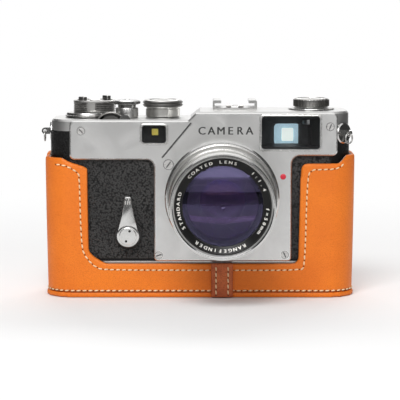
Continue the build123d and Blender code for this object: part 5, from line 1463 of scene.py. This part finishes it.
# ------------------------------------------------------------------ leather case
@dataclass
class HalfCase:
    """Leather half case: shell, sole, closing strap and saddle stitches. Sizes in millimetres."""

    nodes: dict[str, bpy.types.Object]
    voxel: float = 0.95
    corner: float = 12.8
    drawn_in: float = 0.012
    stitch_pitch: float = 2.75
    stitch_length: float = 2.0
    stitch_tilt: float = 0.12
    inset: float = 2.9

    def build(self) -> None:
        """Makes every piece of the case."""
        self.low, self.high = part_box("case_shell")
        self.shell()
        self.sole()
        self.strap()
        self.stitches()

    def leather_copy(self, node: str, voxel: float, rounds: int) -> bpy.types.Object:
        """A soft-edged leather body over a node's shape.

        Args:
            node: The node whose shape the leather follows.
            voxel: Size of its mesh in millimetres.
            rounds: How often its edges are softened.

        Returns:
            The new object.
        """
        obj = copy_of(self.nodes[node], Matrix())
        obj.parent = None
        obj.matrix_world = Matrix()
        edit(obj)
        bpy.ops.mesh.select_all(action="SELECT")
        bpy.ops.mesh.remove_doubles(threshold=1e-6)
        bpy.ops.object.mode_set(mode="OBJECT")
        apply_modifier(obj, "REMESH", mode="VOXEL", voxel_size=voxel * MM)
        apply_modifier(obj, "SMOOTH", factor=0.5, iterations=rounds)
        return obj

    def taper(self, height: float) -> float:
        """How far the walls are drawn in at a height, as a share of their width."""
        share = max(0.0, 1.0 - (height - self.low.z) / (self.high.z - self.low.z))
        return 1.0 - self.drawn_in * share ** 1.5

    def shell(self) -> None:
        """The moulded walls, drawn in towards the sole and lined with suede."""
        obj = self.leather_copy("case_shell", self.voxel, 3)
        middle = (self.low.x + self.high.x) / 2
        for vertex in obj.data.vertices:
            vertex.co.x = middle + (vertex.co.x - middle) * self.taper(vertex.co.z)
        for face in obj.data.polygons:
            centre = face.center
            inside = abs(centre.y) < self.high.y - 1.2 * MM and abs(centre.x) < self.high.x - 1.2 * MM
            facing = face.normal.dot(Vector((0, math.copysign(1, centre.y), 0))) < -0.4
            facing = facing or face.normal.dot(Vector((math.copysign(1, centre.x), 0, 0))) < -0.4
            face.material_index = 1 if facing and inside else 0
        smooth(obj, 60)
        finish_piece(obj, "case_walls", "case", (CASE_LEATHER, SUEDE), ("case_shell",))

    def sole(self) -> None:
        """The stitched-on sole."""
        obj = self.leather_copy("case_sole", 1.1, 3)
        smooth(obj, 60)
        finish_piece(obj, "case_base", "case", CASE_LEATHER, ("case_sole",))

    def strap(self) -> None:
        """The closing strap, slightly domed, with rounded edges."""
        obj = self.leather_copy("case_strap", 0.32, 2)
        low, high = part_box("case_strap")
        middle = (low.x + high.x) / 2
        for vertex in obj.data.vertices:
            if vertex.co.y < (low.y + high.y) / 2:
                across = (vertex.co.x - middle) / (high.x - middle)
                vertex.co.y -= 0.18 * MM * (1 - across ** 2)
        smooth(obj, 60)
        finish_piece(obj, "closing_strap", "case", STRAP_LEATHER, ("case_strap",))

    def outline(self) -> list[tuple[float, float]]:
        """The line of stitches round the front opening, left to right, in metres."""
        low, high = self.low, self.high
        lens = centre_of("lens_mount_ring")
        left, right = low.x, high.x
        i = self.inset * MM
        return [
            (left + 5 * MM, low.z + 61.5 * MM - i), (left + 9.0 * MM, low.z + 61.3 * MM - i),
            (left + 12.0 * MM, low.z + 60.2 * MM - i), (left + 15.6 * MM, low.z + 57.9 * MM - i),
            (left + 16.3 * MM, low.z + 56.0 * MM - i), (left + 16.6 * MM, low.z + 22.0 * MM),
            (left + 18.2 * MM, low.z + 16.6 * MM), (left + 23.0 * MM, low.z + 11.5 * MM),
            (left + 27.5 * MM, low.z + 10.4 * MM), (lens.x - 6.4 * MM, low.z + 10.3 * MM),
            (lens.x + 6.6 * MM, low.z + 10.3 * MM), (right - 24.6 * MM, low.z + 10.3 * MM),
            (right - 22.8 * MM, low.z + 12.0 * MM), (right - 22.4 * MM, low.z + 53.0 * MM),
            (right - 20.4 * MM, low.z + 56.2 * MM), (right - 17.0 * MM, low.z + 56.4 * MM),
            (right - 8.5 * MM, low.z + 56.6 * MM), (right - 5.0 * MM, low.z + 59.0 * MM),
        ]

    def wall_point(self, x: float, z: float, proud: float) -> tuple[Vector, Vector]:
        """A point on the front wall and its outward direction, round the corners too.

        Args:
            x: Place along the front, which runs on round the corner past its end.
            z: Height.
            proud: How far the point stands off the leather.

        Returns:
            The point and the outward direction.
        """
        corner = self.corner * MM
        half = self.high.x
        straight = half - corner
        taper = self.taper(z)
        side = math.copysign(1, x)
        over = abs(x) - straight
        if over <= 0:
            return Vector((x * taper, self.low.y - proud, z)), Vector((0, -1, 0))
        angle = over / corner
        if angle < math.pi / 2:
            out = Vector((side * math.sin(angle), -math.cos(angle), 0))
            hub = Vector((side * straight, self.low.y + corner, z))
            point = hub + out * (corner + proud)
            return Vector((point.x * taper, point.y, z)), out
        beyond = over - corner * math.pi / 2
        return (Vector((side * half * taper + side * proud, self.low.y + corner + beyond, z)),
                Vector((side, 0, 0)))

    def stitches(self) -> None:
        """Saddle stitches along the opening, the sole seam and the strap, with painted shade discs at their
        holes.
        """
        bpy.ops.mesh.primitive_uv_sphere_add(segments=10, ring_count=6, radius=1)
        thread = bpy.context.active_object
        thread.data.transform(Matrix.Diagonal((self.stitch_length / 2 * MM, 0.36 * MM, 0.3 * MM, 1)))
        # Painted shade: a dark disc stands for each stitch hole.
        bpy.ops.mesh.primitive_circle_add(vertices=10, radius=0.3 * MM, fill_type="NGON")
        hole_shadow = bpy.context.active_object
        threads: list[bpy.types.Object] = []
        hole_shadows: list[bpy.types.Object] = []

        def sew(point: Callable[[float], tuple[Vector, Vector]], length: float) -> None:
            """Sets threads and the painted shade discs of their holes along a line that is given by shares of
            its length.
            """
            count = max(1, round(length / (self.stitch_pitch * MM)))
            for index in range(count):
                at, out = point((index + 0.5) / count)
                ahead, _ = point(min(1.0, (index + 0.9) / count))
                behind, _ = point(max(0.0, (index + 0.1) / count))
                along = (ahead - behind).normalized()
                across = out.cross(along).normalized()
                lean = (along + across * self.stitch_tilt).normalized()
                matrix = Matrix((lean, out.cross(lean), out)).transposed().to_4x4()
                threads.append(copy_of(thread, Matrix.Translation(at + out * 0.05 * MM) @ matrix))
                end, end_out = point(index / count)
                matrix = Matrix((along, end_out.cross(along), end_out)).transposed().to_4x4()
                hole_shadows.append(copy_of(hole_shadow, Matrix.Translation(end + end_out * 0.1 * MM) @ matrix))

        path = self.rounded(self.outline())
        lengths = [0.0]
        for first, second in zip(path, path[1:]):
            lengths.append(lengths[-1] + math.hypot(second[0] - first[0], second[1] - first[1]))
        total = lengths[-1]
        strap_low, strap_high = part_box("case_strap")

        def on_outline(share: float) -> tuple[Vector, Vector]:
            """The point at a share of the opening's length."""
            target = share * total
            index = next(i for i, value in enumerate(lengths) if value >= target - 1e-12 and i > 0)
            part = (target - lengths[index - 1]) / max(lengths[index] - lengths[index - 1], 1e-9)
            x = path[index - 1][0] + (path[index][0] - path[index - 1][0]) * part
            z = path[index - 1][1] + (path[index][1] - path[index - 1][1]) * part
            return self.wall_point(x, z, 0.0)

        sew(on_outline, total)
        reach = self.high.x + 22 * MM
        sew(lambda share: self.wall_point(-reach + 2 * reach * share, self.low.z + 0.9 * MM, 0.0), 2 * reach)
        for offset in (-2.75, 2.75):
            x = (strap_low.x + strap_high.x) / 2 + offset * MM
            sew(lambda share, x=x: (Vector((x, strap_low.y - 0.12 * MM, strap_low.z + 1.0 * MM
                                            + (strap_high.z - strap_low.z - 2.2 * MM) * share)),
                                    Vector((0, -1, 0))), strap_high.z - strap_low.z - 2.2 * MM)
        deselect()
        for template in (thread, hole_shadow):
            bpy.data.objects.remove(template)
        seam = join(threads)
        smooth(seam, 60)
        finish_piece(seam, "case_stitching", "case", THREAD)
        marks = join(hole_shadows)
        finish_piece(marks, "case_stitch_hole_shadows", "case", STITCH_HOLE_SHADE)

    @staticmethod
    def rounded(points: Sequence[tuple[float, float]]) -> list[tuple[float, float]]:
        """A smooth line, by cutting every corner three times."""
        line = list(points)
        for _ in range(3):
            cut = [line[0]]
            for (ax, az), (bx, bz) in zip(line, line[1:]):
                cut.append((ax * 0.75 + bx * 0.25, az * 0.75 + bz * 0.25))
                cut.append((ax * 0.25 + bx * 0.75, az * 0.25 + bz * 0.75))
            cut.append(line[-1])
            line = cut
        return line


# ------------------------------------------------------------------ stage
@dataclass
class Stage:
    """Floor, lights, world and camera. Sizes in metres."""

    distance: float = 0.85
    eye_height: float = 0.144
    aim_height: float = 0.0444
    view_width: float = 0.1822
    sensor: float = 36.0
    floor_size: float = 6.0
    floor_drop: float = 0.0002
    lamp_aim: float = 0.04
    world_light: float = 0.42

    def build(self) -> None:
        """Sets the stage."""
        scene = bpy.context.scene
        scene.view_settings.view_transform = "Standard"
        self.floor()
        self.cards()
        self.world()
        self.lights()
        self.camera()

    def floor(self) -> None:
        """A wide pale floor."""
        deselect()
        bpy.ops.mesh.primitive_plane_add(size=self.floor_size, location=(0, 0, -self.floor_drop))
        floor = bpy.context.active_object
        floor.name = "floor"
        floor.data.materials.append(FloorPaper("pale_floor", (0.84, 0.84, 0.84)).material())

    def cards(self) -> None:
        """Dark cards at the sides and in front, seen only in reflections and through the lens."""
        black = Enamel("dark_card", (0.02, 0.02, 0.02), roughness=0.8, wear=0.0)
        grey = Enamel("grey_card", (0.07, 0.07, 0.08), roughness=0.8, wear=0.0)
        for name, place_, size, turn, finish, mirrored, through in (
                ("card_left", (-0.42, 0.08, 0.2), (1.2, 0.8), (90, 0, 90), black, True, False),
                ("card_right", (0.42, 0.08, 0.2), (1.2, 0.8), (90, 0, 90), black, True, False),
                ("card_front", (0.0, -1.5, 0.09), (2.4, 0.2), (90, 0, 0), black, True, True),
                ("card_low", (0.0, -0.98, 0.003), (2.4, 1.06), (0, 0, 0), black, True, True),
                ("card_floor", (0.0, -0.25, 0.002), (2.4, 0.38), (0, 0, 0), grey, False, True)):
            deselect()
            bpy.ops.mesh.primitive_plane_add(size=1, location=place_,
                                             rotation=[math.radians(angle) for angle in turn])
            card = bpy.context.active_object
            card.name = name
            card.scale = (*size, 1)
            card.data.materials.append(finish.material())
            card.visible_camera = False
            card.visible_shadow = False
            card.visible_diffuse = False
            card.visible_glossy = mirrored
            card.visible_transmission = through

    def world(self) -> None:
        """White to the eye and in reflections, dim as a light."""
        world = bpy.data.worlds.new("studio")
        bpy.context.scene.world = world
        world.use_nodes = True
        sheet = Sheet(world.node_tree)
        path = sheet.add("ShaderNodeLightPath")
        seen = path.outputs["Is Camera Ray"]
        for ray in ("Is Transmission Ray", "Is Glossy Ray"):
            seen = sheet.math("ADD", seen, path.outputs[ray], clamp=True)
        strength = sheet.math("MAXIMUM", seen, self.world_light)
        background = sheet.add("ShaderNodeBackground", Color=(1.0, 1.0, 1.0, 1.0), Strength=strength)
        output = sheet.add("ShaderNodeOutputWorld")
        sheet.feed(output.inputs["Surface"], background.outputs[0])

    def lights(self) -> None:
        """A broad key from above left, a fill from the right and a strip behind."""
        for name, place_, size, power in (
                ("key", (-0.22, -0.95, 1.15), (0.7, 0.6), 13.0),
                ("fill", (0.05, -1.15, 0.62), (1.3, 0.4), 4.0),
                ("back", (0.1, 0.9, 0.9), (1.0, 0.35), 6.0)):
            lamp = bpy.data.lights.new(name, "AREA")
            lamp.shape = "RECTANGLE"
            lamp.size, lamp.size_y = size
            lamp.energy = power
            obj = bpy.data.objects.new(name, lamp)
            obj.visible_transmission = name != "key"
            obj.location = place_
            aim = Vector((0, 0, self.lamp_aim)) - Vector(place_)
            obj.rotation_euler = aim.to_track_quat("-Z", "Y").to_euler()
            bpy.context.scene.collection.objects.link(obj)

    def camera(self) -> None:
        """The camera of the main view."""
        front_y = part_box("body_casting")[0].y
        eye = Vector((0, front_y - self.distance, self.eye_height))
        aim = Vector((0, front_y, self.aim_height))
        data = bpy.data.cameras.new("view")
        data.sensor_width = self.sensor
        data.lens = self.sensor / 2 * (aim - eye).length / (self.view_width / 2)
        data.clip_end = 50
        obj = bpy.data.objects.new("view", data)
        obj.location = eye
        obj.rotation_euler = (aim - eye).to_track_quat("-Z", "Y").to_euler()
        bpy.context.scene.collection.objects.link(obj)
        bpy.context.scene.camera = obj


def main() -> None:
    """Builds the stage and every piece."""
    logging.basicConfig(level=logging.INFO, format="%(name)s %(message)s")
    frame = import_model()
    Stage().build()
    dress_nodes(frame["nodes"])
    HalfCase(frame["nodes"]).build()
    Lens().build()
    TopControls().build()
    FrontDetails().build()


if __name__ == "__main__":
    main()
